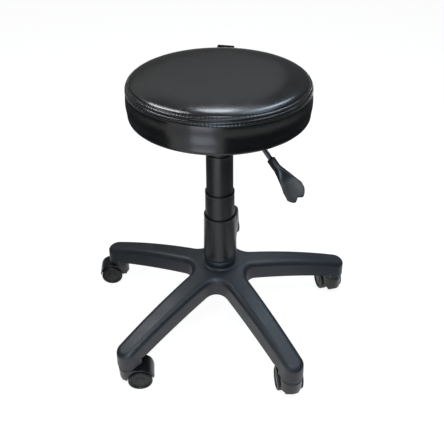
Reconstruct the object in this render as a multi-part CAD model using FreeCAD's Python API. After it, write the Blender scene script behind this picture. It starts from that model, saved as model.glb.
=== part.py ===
import FreeCAD, Part
import math
import os

# Rolling stool with a gas lift: millimetres, +Z up, origin on the floor under the column axis.
# +Y points away from a person who looks at the stool with the lever at their right.
Vec = FreeCAD.Vector
Y_AXIS = Vec(0, 1, 0)
Z_AXIS = Vec(0, 0, 1)

# Shared clearances
running_fit = 0.05
snug_fit = 0.04
part_gap = 0.3
drill_over = 1.0
edge_match = 0.01

# Five-legged base
leg_count = 5
first_leg_angle = -60.0
stem_circle_radius = 280.0
sleeve_bottom = 62.0
leg_end_radius = 23.0
leg_root_half_width = 29.5
leg_root_station = 90.0
crotch_radius = 26.0
side_draft_angle = 3.5
leg_edge_round = 12.0
hub_crest_station = 46.0
hub_crest_height = 149.5
mid_crest_station = 165.0
mid_crest_height = 133.0
end_crest_height = 104.5
edge_root_station = 62.0
edge_root_height = 108.0
edge_mid_station = 160.0
edge_mid_height = 93.0
edge_end_inset = 30.0
edge_end_height = 74.0
sleeve_back_radius = 26.5
base_wall = 4.0
rib_thickness = 2.6
rib_setback = 2.5
cross_rib_pitch = 34.0
cross_rib_count = 5
socket_boss_radius = 11.0
socket_depth = 26.0

# Hub neck and its two bead rings
neck_radius = 33.0
neck_root_round = 5.0
bead_reach = 2.7
bead_height = 12.5
ledge_radius = 35.8
ledge_thickness = 1.5
cover_seat_height = 184.0
spigot_height = 4.0
spigot_wall = 1.8
barrel_radius = 33.0
barrel_bottom = 78.0

# Gas lift
stand_tube_radius = 25.0
stand_tube_wall = 2.0
stand_tube_bottom = 75.0
stand_tube_length = 240.0
stand_taper_top = 140.0
stand_taper_drop = 0.9
stand_floor = 3.0
bush_length = 80.0
bush_flange = 1.5
rod_radius = 5.0
rod_bottom = 66.0
rod_length = 204.0
clip_radius = 9.0
clip_thickness = 2.0
race_thickness = 2.0
race_inner_radius = 8.0
race_outer_radius = 20.0
ball_radius = 2.5
ball_count = 12
ball_play = 0.05
bump_radius = 16.0
bump_height = 9.0
piston_length = 18.0
seal_width = 4.0
seal_depth = 1.6
pressure_tube_radius = 14.0
pressure_tube_wall = 2.0
pressure_tube_bottom = 200.0
pressure_tube_length = 278.0
upper_taper_length = 46.0
upper_taper_drop = 0.7
rod_guide_length = 18.0
rod_seal_length = 5.0
valve_length = 40.0
release_pin_radius = 4.0
release_pin_depth = 24.0
release_pin_dome = 2.8

# Telescopic cover
cover_wall = 1.3
cover_lip = 0.4
cover_lip_height = 4.0
cover_lip_slope = 1.0
lower_cover_foot = 36.2
lower_cover_head = 33.6
lower_cover_length = 97.0
middle_cover_foot = 31.4
middle_cover_head = 30.0
middle_cover_overlap = 43.0
middle_cover_length = 100.0
upper_cover_foot = 28.0
upper_cover_head = 26.75
upper_cover_length = 125.0
upper_cover_gap = 2.0
middle_cover_bead = 1.3
upper_cover_bead = 0.5
cover_bead_height = 5.0
cover_bead_slope = 2.0

# Seat
band_height = 43.0
rim_round = 20.0
crown_lift = 5.0
foam_gap = 0.2
seat_rim_radius = 167.0
band_bulge = 1.5
base_edge_round = 8.0
seam_angle = 29.0
seam_gap = 0.4
vinyl_thickness = 1.2
flange_inner_radius = 138.0
board_radius = 158.0
board_thickness = 12.0
cloth_thickness = 0.6
tab_angle = 85.3
tab_width = 34.0
tab_reach = 19.5
tab_lift = 3.0
tab_layer = 1.5
tab_fold_gap = 0.8

# Plate, boss and bolts under the seat
plate_size = 160.0
plate_thickness = 2.5
plate_rim_depth = 6.0
plate_corner = 14.0
bolt_square = 116.0
bolt_radius = 3.0
bolt_hole_radius = 3.4
bolt_head_width = 10.0
bolt_head_height = 4.0
washer_radius = 8.0
washer_thickness = 1.4
tee_barrel_radius = 4.2
tee_flange_radius = 9.5
tee_flange = 1.3
thread_setback = 1.0
boss_radius = 26.0
boss_wall = 3.0
boss_skirt = 3.0
bush_inset = 5.0
bush_setback = 2.0

# Height lever
lever_angle = -50.0
lever_radius = 4.5
lever_over_lift = 12.5
lever_headroom = 16.6
lever_pivot_station = 40.0
lever_inner_end = 7.0
lever_bend_station = 108.0
lever_bend_radius = 24.0
lever_bend_angle = 34.5
lever_sloped_length = 52.0
lever_slot_height = 17.0
lever_slot_gap = 1.5
pivot_radius = 2.5
pivot_over = 1.0
pivot_head_radius = 4.5
pivot_head = 1.6
ear_gap = 11.0
ear_thickness = 3.0
ear_length = 20.0
ear_round = 9.0
paddle_start = 26.0
paddle_length = 89.0
paddle_socket_radius = 7.6
paddle_socket_length = 24.0
paddle_end_width = 37.0
paddle_neck_width = 15.0
paddle_thickness = 5.0
paddle_ridge = 14.0
paddle_ridge_round = 5.7
paddle_notch = 8.0
paddle_notch_bend = 0.42
paddle_corner = 3.0
paddle_hollow = -0.8
paddle_edge_round = 1.8
paddle_twist = 24.0

# Twin-wheel casters
caster_trail_angles = (95.0, 103.0, 108.0, 186.0, 6.0)
caster_trail = 20.0
wheel_radius = 25.0
wheel_inner_face = 10.2
wheel_outer_face = 26.6
wheel_edge_round = 3.0
wheel_rim_radius = 20.0
wheel_hub_radius = 7.5
wheel_dish = 2.2
wheel_web = 3.2
wheel_face_slope = 1.5
tread_setback = 1.0
hub_cap_radius = 9.0
hub_cap_sink = 0.9
axle_radius = 3.0
hood_radius = 29.0
hood_half_width = 22.0
hood_tail_round = 11.0
hood_tail_margin = 1.0
hood_wheel_gap = 1.2
hood_web_half = 5.0
hood_web_inset = 2.0
hood_edge_round = 1.2
hub_web_drop = 4.0
collar_radius = 20.5
collar_flare = 1.0
collar_gap = 0.7
collar_drop = 12.0
nose_half_width = 14.5
nose_top_reach = 22.0
nose_bottom_reach = 15.0
nose_bottom = 16.0
nose_corner = 8.0
nose_wall = 9.0
stem_radius = 5.5
stem_housing_radius = 9.6
stem_foot = 27.0
housing_floor = 3.0
socket_end_gap = 1.0
grip_ring_length = 6.0
grip_ring_wall = 0.9
grip_slot = 1.6

# Heights up the column, each from the piece that carries it
stand_tube_top = stand_tube_bottom + stand_tube_length
rod_top = rod_bottom + rod_length
pressure_tube_top = pressure_tube_bottom + pressure_tube_length
upper_taper_bottom = pressure_tube_top - upper_taper_length
boss_bottom = upper_taper_bottom - boss_skirt
bush_bottom = boss_bottom + bush_inset
bush_top = pressure_tube_top - bush_setback
lower_cover_top = cover_seat_height + lower_cover_length
middle_cover_bottom = lower_cover_top - middle_cover_overlap
middle_cover_top = middle_cover_bottom + middle_cover_length
upper_cover_top = boss_bottom - upper_cover_gap
upper_cover_bottom = upper_cover_top - upper_cover_length
lever_height = pressure_tube_top + lever_over_lift
plate_bottom = lever_height + lever_headroom
plate_top = plate_bottom + plate_thickness
board_bottom = plate_top + cloth_thickness
board_top = board_bottom + board_thickness
seat_underside = board_bottom - vinyl_thickness
rim_height = seat_underside + base_edge_round + band_height
edge_end_station = stem_circle_radius - edge_end_inset


def revolved(edges, base=Vec(0, 0, 0), axis=Z_AXIS):
    """A solid turned round an axis from the edges of a closed half section."""
    face = Part.Face(Part.Wire(edges))
    return face.revolve(base, axis, 360)


def chain(points, bulges=None):
    """Edges through the points in order and back to the first; bulges holds a mid point for arcs."""
    bulges = bulges or {}
    edges = []
    for index, start in enumerate(points):
        end = points[(index + 1) % len(points)]
        if index in bulges:
            edges.append(Part.Arc(start, bulges[index], end).toShape())
        else:
            edges.append(Part.LineSegment(start, end).toShape())
    return edges


def section(pairs, bulges=None):
    """Half section edges in the XZ plane from (radius, height) pairs."""
    middles = {key: Vec(r, 0, z) for key, (r, z) in (bulges or {}).items()}
    return chain([Vec(r, 0, z) for r, z in pairs], middles)


def turned(pairs, bulges=None):
    """A solid of revolution about the column axis."""
    return revolved(section(pairs, bulges))


def ring(inner, outer, bottom, top):
    """A plain washer or tube about the column axis."""
    if inner <= 0:
        return Part.makeCylinder(outer, top - bottom, Vec(0, 0, bottom))
    return turned([(inner, bottom), (outer, bottom), (outer, top), (inner, top)])


def polar(radius, angle, height=0.0):
    """A point given by its radius and azimuth in degrees."""
    turn = math.radians(angle)
    return Vec(radius * math.cos(turn), radius * math.sin(turn), height)


def spun(shape, angle):
    """A copy turned about the column axis."""
    copy = shape.copy()
    copy.rotate(Vec(0, 0, 0), Z_AXIS, angle)
    return copy


def tube_box(x0, x1, y_half, z0, z1):
    """A box from x0 to x1 that is centred on the XZ plane."""
    return Part.makeBox(x1 - x0, 2 * y_half, z1 - z0, Vec(x0, -y_half, z0))


def group(shapes):
    """Separate solids kept side by side in one piece."""
    return Part.makeCompound(shapes)


def end_circles(shape, direction, distance):
    """The whole circles of a shape that lie at a distance along a direction."""
    circles = [edge for edge in shape.Edges if len(edge.Vertexes) == 1]
    return [edge for edge in circles if abs(edge.CenterOfMass.dot(direction) - distance) < edge_match]


def arc_point(centre, radius, angle):
    """A (radius, height) pair on a circle in the half section."""
    turn = math.radians(angle)
    return centre[0] + radius * math.cos(turn), centre[1] + radius * math.sin(turn)


# Base: a star outline with round crotches and round ends is drawn in as it rises
leg_step = 360.0 / leg_count
half_step = leg_step / 2
leg_angles = [first_leg_angle + leg_step * index for index in range(leg_count)]
draft = math.tan(math.radians(side_draft_angle))
star_top = hub_crest_height + leg_edge_round
leg_taper = math.asin((leg_root_half_width - leg_end_radius) / (stem_circle_radius - leg_root_station))


def star_wire(inset, height):
    """The star outline, moved in by inset, at a height."""
    end_radius = leg_end_radius - inset
    hollow_radius = crotch_radius + inset
    side = Vec(math.sin(leg_taper), math.cos(leg_taper), 0)
    end_centre = Vec(stem_circle_radius, 0, 0)
    # The crotch centre lies on the bisector, one crotch radius outside the leg's side line
    bisector = polar(1, half_step)
    reach = (leg_end_radius + crotch_radius + end_centre.dot(side)) / bisector.dot(side)
    hollow_centre = bisector * reach
    edges = []
    for angle in leg_angles:
        tip = [end_centre + Vec(side.x, -side.y, 0) * end_radius,
               end_centre + Vec(end_radius, 0, 0),
               end_centre + side * end_radius]
        root = [hollow_centre - side * hollow_radius,
                hollow_centre - bisector * hollow_radius]
        mirror = spun_point(Vec(root[0].x, -root[0].y, 0), leg_step)
        tip = [spun_point(p, angle, height) for p in tip]
        root = [spun_point(p, angle, height) for p in root + [mirror]]
        next_tip = spun_point(end_centre + Vec(side.x, -side.y, 0) * end_radius, angle + leg_step, height)
        edges += [Part.Arc(*tip).toShape(),
                  Part.LineSegment(tip[2], root[0]).toShape(),
                  Part.Arc(*root).toShape(),
                  Part.LineSegment(root[2], next_tip).toShape()]
    return Part.Wire(edges)


def spun_point(point, angle, height=0.0):
    """A point turned about the column axis and lifted."""
    turn = math.radians(angle)
    x = point.x * math.cos(turn) - point.y * math.sin(turn)
    y = point.x * math.sin(turn) + point.y * math.cos(turn)
    return Vec(x, y, point.z + height)


def star_prism(inset, bottom, top):
    """The drafted star between two heights."""
    wires = [star_wire(inset + draft * (z - sleeve_bottom), z) for z in (bottom, top)]
    return Part.makeLoft(wires, True, True)


def crest_profile(drop):
    """Three (radius, height) pairs of the leg tops, moved down by drop."""
    return ((hub_crest_station, hub_crest_height - drop),
            (mid_crest_station, mid_crest_height - drop),
            (stem_circle_radius, end_crest_height - drop))


def circle_through(first, second, third):
    """Centre and radius of the circle through three (x, y) pairs."""
    (ax, ay), (bx, by), (cx, cy) = first, second, third
    twice = 2 * (ax * (by - cy) + bx * (cy - ay) + cx * (ay - by))
    sa, sb, sc = ax * ax + ay * ay, bx * bx + by * by, cx * cx + cy * cy
    ux = (sa * (by - cy) + sb * (cy - ay) + sc * (ay - by)) / twice
    uy = (sa * (cx - bx) + sb * (ax - cx) + sc * (bx - ax)) / twice
    return (ux, uy), math.hypot(ax - ux, ay - uy)


def under_crest(drop, bottom):
    """Everything below the leg tops: a turned body whose top follows the crest arc."""
    first, middle, last = crest_profile(drop)
    (cx, cz), radius = circle_through(first, middle, last)
    far = stem_circle_radius + leg_end_radius + leg_edge_round
    far_height = cz + math.sqrt(radius ** 2 - (far - cx) ** 2)
    return turned([(0, bottom), (far, bottom), (far, far_height), first, (0, first[1])],
                  {2: middle})


def under_edge():
    """The space below the lower edge of the legs, clear of the round leg ends."""
    start = (edge_root_station, edge_root_height)
    middle = (edge_mid_station, edge_mid_height)
    end = (edge_end_station, edge_end_height)
    far = stem_circle_radius + leg_end_radius + leg_edge_round
    low = sleeve_bottom - base_wall
    space = turned([(0, low), (far, low), (far, edge_end_height), end, start, (0, edge_root_height)],
                   {3: middle})
    for angle in leg_angles:
        post = Part.makeCylinder(sleeve_back_radius, 2 * edge_root_height, polar(stem_circle_radius, angle))
        beyond = tube_box(stem_circle_radius, far + base_wall, 2 * leg_end_radius, 0, 2 * edge_root_height)
        space = space.cut(post).cut(spun(beyond, angle))
    return space


def star_body():
    """The outer form of the base, with its upper edges rounded."""
    body = star_prism(0.0, sleeve_bottom, star_top).common(under_crest(0.0, sleeve_bottom - base_wall))
    rims = []
    for edge in body.Edges:
        middle = edge.valueAt((edge.FirstParameter + edge.LastParameter) / 2)
        if middle.z > sleeve_bottom + leg_edge_round and len(edge.Vertexes) == 2:
            if all(v.Z > sleeve_bottom + leg_edge_round for v in edge.Vertexes):
                rims.append(edge)
    body = body.makeFillet(leg_edge_round, rims)
    return body.cut(under_edge())


def base_cavity():
    """The hollow under the base that leaves an even wall."""
    low = sleeve_bottom - 2 * base_wall
    return star_prism(base_wall, low, star_top).common(under_crest(base_wall, low))


def base_ribs():
    """The barrel, a long web and cross ribs under each leg, and the caster sockets."""
    ceiling = hub_crest_height
    ribs = [ring(0, barrel_radius, barrel_bottom, ceiling)]
    span = cross_rib_pitch * (cross_rib_count - 1)
    first_rib = (barrel_radius + stem_circle_radius - span) / 2 + base_wall
    for angle in leg_angles:
        web = tube_box(barrel_radius - rib_thickness, stem_circle_radius, rib_thickness / 2,
                       sleeve_bottom, ceiling)
        ribs.append(spun(web, angle))
        for index in range(cross_rib_count):
            station = first_rib + cross_rib_pitch * index
            cross = tube_box(station - rib_thickness / 2, station + rib_thickness / 2,
                             leg_root_half_width + base_wall, sleeve_bottom, ceiling)
            ribs.append(spun(cross, angle))
        ribs.append(Part.makeCylinder(socket_boss_radius, ceiling - sleeve_bottom,
                                      polar(stem_circle_radius, angle, sleeve_bottom)))
    return ribs


def neck():
    """The collar above the legs: two round beads, and a ledge and spigot for the cover."""
    top = cover_seat_height
    ledge = top - ledge_thickness
    low = ledge - 2 * bead_height
    foot = hub_crest_height - 2 * base_wall
    inner = stand_tube_radius + snug_fit
    spigot = lower_cover_foot - cover_wall - snug_fit
    root_centre = (neck_radius + neck_root_round, hub_crest_height + neck_root_round)
    pairs = [(inner, foot), (hub_crest_station, foot), (hub_crest_station, hub_crest_height),
             (root_centre[0], hub_crest_height), (neck_radius, root_centre[1]),
             (neck_radius, low), (neck_radius, low + bead_height), (neck_radius, ledge),
             (ledge_radius, ledge), (ledge_radius, top), (spigot, top), (spigot, top + spigot_height),
             (spigot - spigot_wall, top + spigot_height), (spigot - spigot_wall, top), (inner, top)]
    bulges = {3: arc_point(root_centre, neck_root_round, 225),
              5: (neck_radius + bead_reach, low + bead_height / 2),
              6: (neck_radius + bead_reach, ledge - bead_height / 2)}
    return turned(pairs, bulges)


def stand_form(clearance, top):
    """The outside of the stand tube, tapered at the foot, grown by a clearance."""
    wide = stand_tube_radius + clearance
    narrow = wide - stand_taper_drop
    return turned([(0, stand_tube_bottom), (narrow, stand_tube_bottom), (wide, stand_taper_top),
                   (wide, top), (0, top)])


def star_base():
    """The moulded base as one solid."""
    cavity = base_cavity()
    body = star_body()
    shell = body.cut(cavity)
    lift = Vec(0, 0, rib_setback)
    rib_space = under_edge()
    rib_space.translate(lift)
    inside = cavity.common(body).cut(rib_space)
    ribs = base_ribs()
    barrel = ribs[0].fuse(neck())
    inner = [piece.common(inside) for piece in ribs[1:]]
    whole = shell.multiFuse([barrel] + inner)
    whole = whole.cut(stand_form(snug_fit, cover_seat_height + spigot_height))
    for angle in leg_angles:
        bore = Part.makeCylinder(stem_radius + snug_fit, socket_depth + base_wall,
                                 polar(stem_circle_radius, angle, sleeve_bottom - base_wall))
        whole = whole.cut(bore)
    return whole.removeSplitter()


# Gas lift
bearing_floor = stand_tube_bottom + stand_floor
ball_level = bearing_floor + race_thickness + ball_play + ball_radius
upper_race = ball_level + ball_radius + ball_play
bump_bottom = upper_race + race_thickness
stand_inner = stand_tube_radius - stand_tube_wall
tube_inner = pressure_tube_radius - pressure_tube_wall
ball_circle = (race_inner_radius + race_outer_radius) / 2


def stand_tube():
    """The outer steel tube: tapered at the foot and closed by a holed floor."""
    shell = stand_form(0.0, stand_tube_top)
    room = ring(0, stand_inner - stand_taper_drop, bearing_floor, stand_tube_top)
    wide = ring(0, stand_inner, stand_taper_top, stand_tube_top)
    hole = ring(0, rod_radius + part_gap, stand_tube_bottom, bearing_floor)
    return shell.cut(room.fuse(wide)).cut(hole)


def guide_bush():
    """The nylon sleeve that guides the pressure tube, with a flange on the tube's mouth."""
    inner = pressure_tube_radius + running_fit
    low = stand_tube_top - bush_length
    return turned([(inner, low), (stand_inner - snug_fit, low), (stand_inner - snug_fit, stand_tube_top),
                   (stand_tube_radius, stand_tube_top), (stand_tube_radius, stand_tube_top + bush_flange),
                   (inner, stand_tube_top + bush_flange)])


def bearing_balls():
    """The ring of balls of the thrust bearing."""
    balls = []
    for index in range(ball_count):
        centre = polar(ball_circle, 360.0 * index / ball_count, ball_level)
        balls.append(Part.makeSphere(ball_radius, centre))
    return group(balls)


def piston_rod():
    """The chromed rod that stands on the thrust bearing, with a collar for the races."""
    shaft = ring(0, rod_radius, rod_bottom, rod_top)
    groove = ring(rod_radius - clip_thickness / 2, 2 * rod_radius, clip_bottom, clip_bottom + clip_thickness)
    return shaft.cut(groove)


clip_bottom = stand_tube_bottom - part_gap - clip_thickness


def retaining_clip():
    """The spring clip below the stand tube's floor, open at one side."""
    clip_top = clip_bottom + clip_thickness
    clip = ring(rod_radius - clip_thickness / 2 + snug_fit, clip_radius, clip_bottom, clip_top)
    mouth = tube_box(0, 2 * clip_radius, rod_radius - clip_thickness, clip_bottom, clip_top)
    return clip.cut(mouth)


def piston():
    """The piston on top of the rod, with a groove for its seal."""
    low = rod_top - piston_length
    bore = rod_radius + snug_fit
    edge = tube_inner - running_fit
    mid = rod_top - piston_length / 2
    body = ring(bore, edge, low, rod_top)
    groove = ring(edge - seal_depth, 2 * edge, mid - seal_width / 2, mid + seal_width / 2)
    return body.cut(groove)


def piston_seal():
    """The rubber ring in the piston's groove."""
    mid = rod_top - piston_length / 2
    half = seal_width / 2 - snug_fit
    edge = tube_inner - running_fit
    return ring(edge - seal_depth + snug_fit, edge, mid - half, mid + half)


def pressure_tube():
    """The sliding tube of the lift: its upper end is tapered to wedge in the seat's bush."""
    wide = pressure_tube_radius
    tip = wide - upper_taper_drop
    return turned([(tube_inner, pressure_tube_bottom), (wide, pressure_tube_bottom), (wide, upper_taper_bottom),
                   (tip, pressure_tube_top), (tube_inner, pressure_tube_top)])


def rod_guide():
    """The bush that closes the foot of the pressure tube round the rod."""
    return ring(rod_radius + running_fit, tube_inner - snug_fit, pressure_tube_bottom,
                pressure_tube_bottom + rod_guide_length)


def rod_seal():
    """The lip seal above the rod's bush."""
    low = pressure_tube_bottom + rod_guide_length
    return ring(rod_radius + running_fit, tube_inner - snug_fit, low, low + rod_seal_length)


def valve_body():
    """The valve that plugs the top of the pressure tube, bored for the release pin."""
    plug = ring(0, tube_inner - snug_fit, pressure_tube_top - valve_length, pressure_tube_top)
    bore = ring(0, release_pin_radius + running_fit, pressure_tube_top - release_pin_depth, pressure_tube_top)
    return plug.cut(bore)


pin_top = lever_height - lever_radius - part_gap
pin_travel_room = 5.0


def release_pin():
    """The pin that opens the valve, with a domed head under the lever."""
    low = pressure_tube_top - release_pin_depth + pin_travel_room
    shaft = ring(0, release_pin_radius, low, pin_top)
    return shaft.makeFillet(release_pin_dome, end_circles(shaft, Z_AXIS, pin_top))


def cover(foot, head, bottom, top, bead=0.0, roof_hole=0.0):
    """One tube of the telescopic cover: narrower at the head, with a lip there and a bead at the foot."""
    slope = (foot - head) / (top - bottom)
    lip_low = top - cover_lip_height

    def side(height):
        return foot - slope * (height - bottom)

    outside = [(side(lip_low), lip_low), (head + cover_lip, lip_low + cover_lip_slope), (head + cover_lip, top)]
    if bead:
        bead_top = bottom + cover_bead_height
        shoulder = bead_top + cover_bead_slope
        outside = [(foot + bead, bead_top), (side(shoulder), shoulder)] + outside
    shell = turned([(foot - cover_wall, bottom), (foot + bead, bottom)] + outside + [(head - cover_wall, top)])
    if roof_hole:
        roof = ring(roof_hole, head - cover_wall / 2, top - cover_wall, top)
        shell = shell.fuse(roof).removeSplitter()
    return shell


# Seat: the outline runs from the crown over the rim, down the band and under the edge
rim_centre = (seat_rim_radius - rim_round, rim_height)
crown_rise = rim_round + crown_lift
crown_radius = (rim_centre[0] ** 2 + crown_rise ** 2 - rim_round ** 2) / (2 * crown_lift)
crown_centre = (0.0, rim_height + crown_rise - crown_radius)
crown_meets_rim = math.degrees(math.atan2(rim_centre[1] - crown_centre[1], rim_centre[0]))
base_edge_centre = (seat_rim_radius - base_edge_round, seat_underside + base_edge_round)
band_middle = (seat_rim_radius + band_bulge, (rim_height + base_edge_centre[1]) / 2)


def crown_pairs(inset):
    """Crown top, crown mid point and the point where the crown runs into the rim."""
    radius = crown_radius - inset
    half = (90 + crown_meets_rim) / 2
    return ((0.0, crown_centre[1] + radius), arc_point(crown_centre, radius, half),
            arc_point(crown_centre, radius, crown_meets_rim))


def rim_pair(inset, angle):
    """A point on the rounded rim."""
    return arc_point(rim_centre, rim_round - inset, angle)


def seat_top_panel():
    """The round vinyl top, from the crown to the seam on the rim."""
    seam = seam_angle + math.degrees(seam_gap / 2 / rim_round)
    half = (seam + crown_meets_rim) / 2
    outer = crown_pairs(0.0)
    inner = crown_pairs(vinyl_thickness)
    return turned([outer[0], outer[2], rim_pair(0, seam), rim_pair(vinyl_thickness, seam), inner[2], inner[0]],
                  {0: outer[1], 1: rim_pair(0, half), 3: rim_pair(vinyl_thickness, half), 4: inner[1]})


def band_pairs(inset):
    """Rim foot, band middle, band foot, mid of the lower edge and start of the underside."""
    small = base_edge_round - inset
    return (rim_pair(inset, 0), (band_middle[0] - inset, band_middle[1]), arc_point(base_edge_centre, small, 0),
            arc_point(base_edge_centre, small, -45), arc_point(base_edge_centre, small, -90))


def seat_band():
    """The vinyl side band, turned under the board as a stapled flange."""
    seam = seam_angle - math.degrees(seam_gap / 2 / rim_round)
    outer = band_pairs(0.0)
    inner = band_pairs(vinyl_thickness)
    return turned([rim_pair(0, seam), outer[0], outer[2], outer[4], (flange_inner_radius, seat_underside),
                   (flange_inner_radius, board_bottom), inner[4], inner[2], inner[0],
                   rim_pair(vinyl_thickness, seam)],
                  {0: rim_pair(0, seam / 2), 1: outer[1], 2: outer[3], 6: inner[3], 7: inner[1],
                   8: rim_pair(vinyl_thickness, seam / 2)})


def seat_foam():
    """The foam block under the vinyl, moulded over the edge of the board."""
    skin = vinyl_thickness + foam_gap
    crown = crown_pairs(skin)
    band = band_pairs(skin)
    side = board_radius + foam_gap
    return turned([crown[0], crown[2], band[0], band[2], band[4], (side, band[4][1]), (side, board_top),
                   (0, board_top)],
                  {0: crown[1], 1: rim_pair(skin, crown_meets_rim / 2), 2: band[1], 3: band[3]})


def rear_tab():
    """The folded webbing pull tab that is sewn into the seam behind the seat."""
    seam_radius, seam_level = rim_pair(0, seam_angle)
    level = seam_level + tab_lift
    half = tab_layer + tab_fold_gap / 2
    root = seam_radius - tab_reach
    nose = seam_radius + tab_reach - half
    outer = chain([Vec(root, 0, level - half), Vec(nose, 0, level - half), Vec(nose, 0, level + half),
                   Vec(root, 0, level + half)], {1: Vec(nose + half, 0, level)})
    slit = tab_fold_gap / 2
    inner = chain([Vec(root, 0, level - slit), Vec(nose, 0, level - slit), Vec(nose, 0, level + slit),
                   Vec(root, 0, level + slit)], {1: Vec(nose + slit, 0, level)})
    solid = Part.Face(Part.Wire(outer)).cut(Part.Face(Part.Wire(inner))).extrude(Vec(0, tab_width, 0))
    solid.translate(Vec(0, -tab_width / 2, 0))
    # The root follows the round rim of the seat
    rim = Part.makeTorus(rim_centre[0], rim_round + part_gap / 3, Vec(0, 0, rim_height), Z_AXIS)
    core = ring(0, rim_centre[0], level - 2 * half, level + 2 * half)
    return spun(solid.cut(rim).cut(core), tab_angle)


def bolt_places():
    """The four bolt axes, square to the lever."""
    half = bolt_square / 2
    return [spun_point(Vec(x, y, 0), lever_angle) for x in (-half, half) for y in (-half, half)]


def at_bolts(shape):
    """Copies of a shape at the four bolt axes."""
    copies = []
    for place in bolt_places():
        copy = shape.copy()
        copy.translate(place)
        copies.append(copy)
    return copies


def bolt_holes(radius, bottom, top):
    """Four drills at the bolt axes."""
    return group(at_bolts(ring(0, radius, bottom, top)))


def seat_board():
    """The plywood disc, drilled and counterbored for the tee nuts."""
    disc = ring(0, board_radius, board_bottom, board_top)
    through = bolt_holes(tee_barrel_radius + snug_fit, board_bottom - drill_over, board_top + drill_over)
    sunk = bolt_holes(tee_flange_radius + snug_fit, board_top - tee_flange, board_top + drill_over)
    return disc.cut(through).cut(sunk)


def dust_cover():
    """The cloth disc under the board, inside the vinyl flange."""
    disc = ring(0, flange_inner_radius - part_gap, board_bottom - cloth_thickness, board_bottom)
    return disc.cut(bolt_holes(bolt_hole_radius, board_bottom - drill_over, board_bottom + drill_over))


def rounded_square(size, corner, bottom, top):
    """A square block with round upright corners."""
    half = size / 2
    block = tube_box(-half, half, half, bottom, top)
    uprights = [edge for edge in block.Edges if edge.BoundBox.ZLength > edge_match]
    return block.makeFillet(corner, uprights)


def mounting_plate():
    """The pressed steel plate with its edge turned down and a hole over the lift."""
    outer = rounded_square(plate_size, plate_corner, plate_top - plate_rim_depth, plate_top)
    inner_size = plate_size - 2 * plate_thickness
    room = rounded_square(inner_size, plate_corner - plate_thickness, plate_top - plate_rim_depth, plate_bottom)
    plate = spun(outer.cut(room), lever_angle)
    low, high = plate_bottom - drill_over, plate_top + drill_over
    return plate.cut(bolt_holes(bolt_hole_radius, low, high)).cut(ring(0, boss_radius - boss_wall, low, high))


def taper_boss():
    """The steel tube welded under the plate, slotted for the lever."""
    tube = ring(boss_radius - boss_wall, boss_radius, boss_bottom, plate_bottom)
    slot = tube_box(0, 2 * boss_radius, lever_radius + lever_slot_gap, lever_height - lever_slot_height / 2,
                    lever_height + lever_slot_height / 2)
    return spun(tube.cut(slot), lever_angle)


def taper_bush():
    """The bush in the boss whose bore takes the tapered end of the lift."""
    fall = upper_taper_drop / (pressure_tube_top - upper_taper_bottom)

    def bore(height):
        return pressure_tube_radius + snug_fit - fall * (height - upper_taper_bottom)

    outer = boss_radius - boss_wall - snug_fit
    return turned([(bore(bush_bottom), bush_bottom), (outer, bush_bottom), (outer, bush_top),
                   (bore(bush_top), bush_top)])


def lever_bracket():
    """Two ears under the plate that carry the lever's pivot."""
    ears = []
    drop = plate_bottom - lever_height + ear_length / 2
    for side in (-1, 1):
        y0 = side * ear_gap / 2 if side > 0 else -ear_gap / 2 - ear_thickness
        ear = Part.makeBox(ear_length, ear_thickness, drop,
                           Vec(lever_pivot_station - ear_length / 2, y0, plate_bottom - drop))
        feet = [edge for edge in ear.Edges
                if edge.BoundBox.ZMax < plate_bottom - drop + edge_match and edge.BoundBox.YLength > edge_match]
        ear = ear.makeFillet(ear_round, feet)
        bore = Part.makeCylinder(pivot_radius + snug_fit, ear_gap + 4 * ear_thickness,
                                 Vec(lever_pivot_station, -ear_gap / 2 - 2 * ear_thickness, lever_height),
                                 Y_AXIS)
        ears.append(spun(ear.cut(bore), lever_angle))
    return group(ears)


def lever_pivot_pin():
    """The headed pin through the ears."""
    length = ear_gap + 2 * ear_thickness
    start = Vec(lever_pivot_station, -length / 2, lever_height)
    pin = Part.makeCylinder(pivot_radius, length + pivot_over, start, Y_AXIS)
    head = Part.makeCylinder(pivot_head_radius, pivot_head, start - Y_AXIS * pivot_head, Y_AXIS)
    return spun(pin.fuse(head).removeSplitter(), lever_angle)


bend_turn = math.radians(lever_bend_angle)
bend_reach = lever_bend_radius * math.tan(bend_turn / 2)
slope = Vec(math.cos(bend_turn), 0, -math.sin(bend_turn))
bend_corner = Vec(lever_bend_station, 0, lever_height)
bend_start = bend_corner - Vec(bend_reach, 0, 0)
bend_end = bend_corner + slope * bend_reach


def lever_rod():
    """The bent rod from the release pin, over the pivot and down to the paddle."""
    inner = Vec(-lever_inner_end, 0, lever_height)
    bend_centre = bend_start - Vec(0, 0, lever_bend_radius)
    half = bend_turn / 2
    middle = bend_centre + Vec(math.sin(half), 0, math.cos(half)) * lever_bend_radius
    path = Part.Wire([Part.LineSegment(inner, bend_start).toShape(),
                      Part.Arc(bend_start, middle, bend_end).toShape(),
                      Part.LineSegment(bend_end, bend_end + slope * lever_sloped_length).toShape()])
    disc = Part.Wire(Part.Circle(inner, Vec(1, 0, 0), lever_radius).toShape())
    rod = path.makePipeShell([disc], True, False)
    bore = Part.makeCylinder(pivot_radius + running_fit, 4 * lever_radius,
                             Vec(lever_pivot_station, -2 * lever_radius, lever_height), Y_AXIS)
    return spun(rod.cut(bore), lever_angle)


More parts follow.
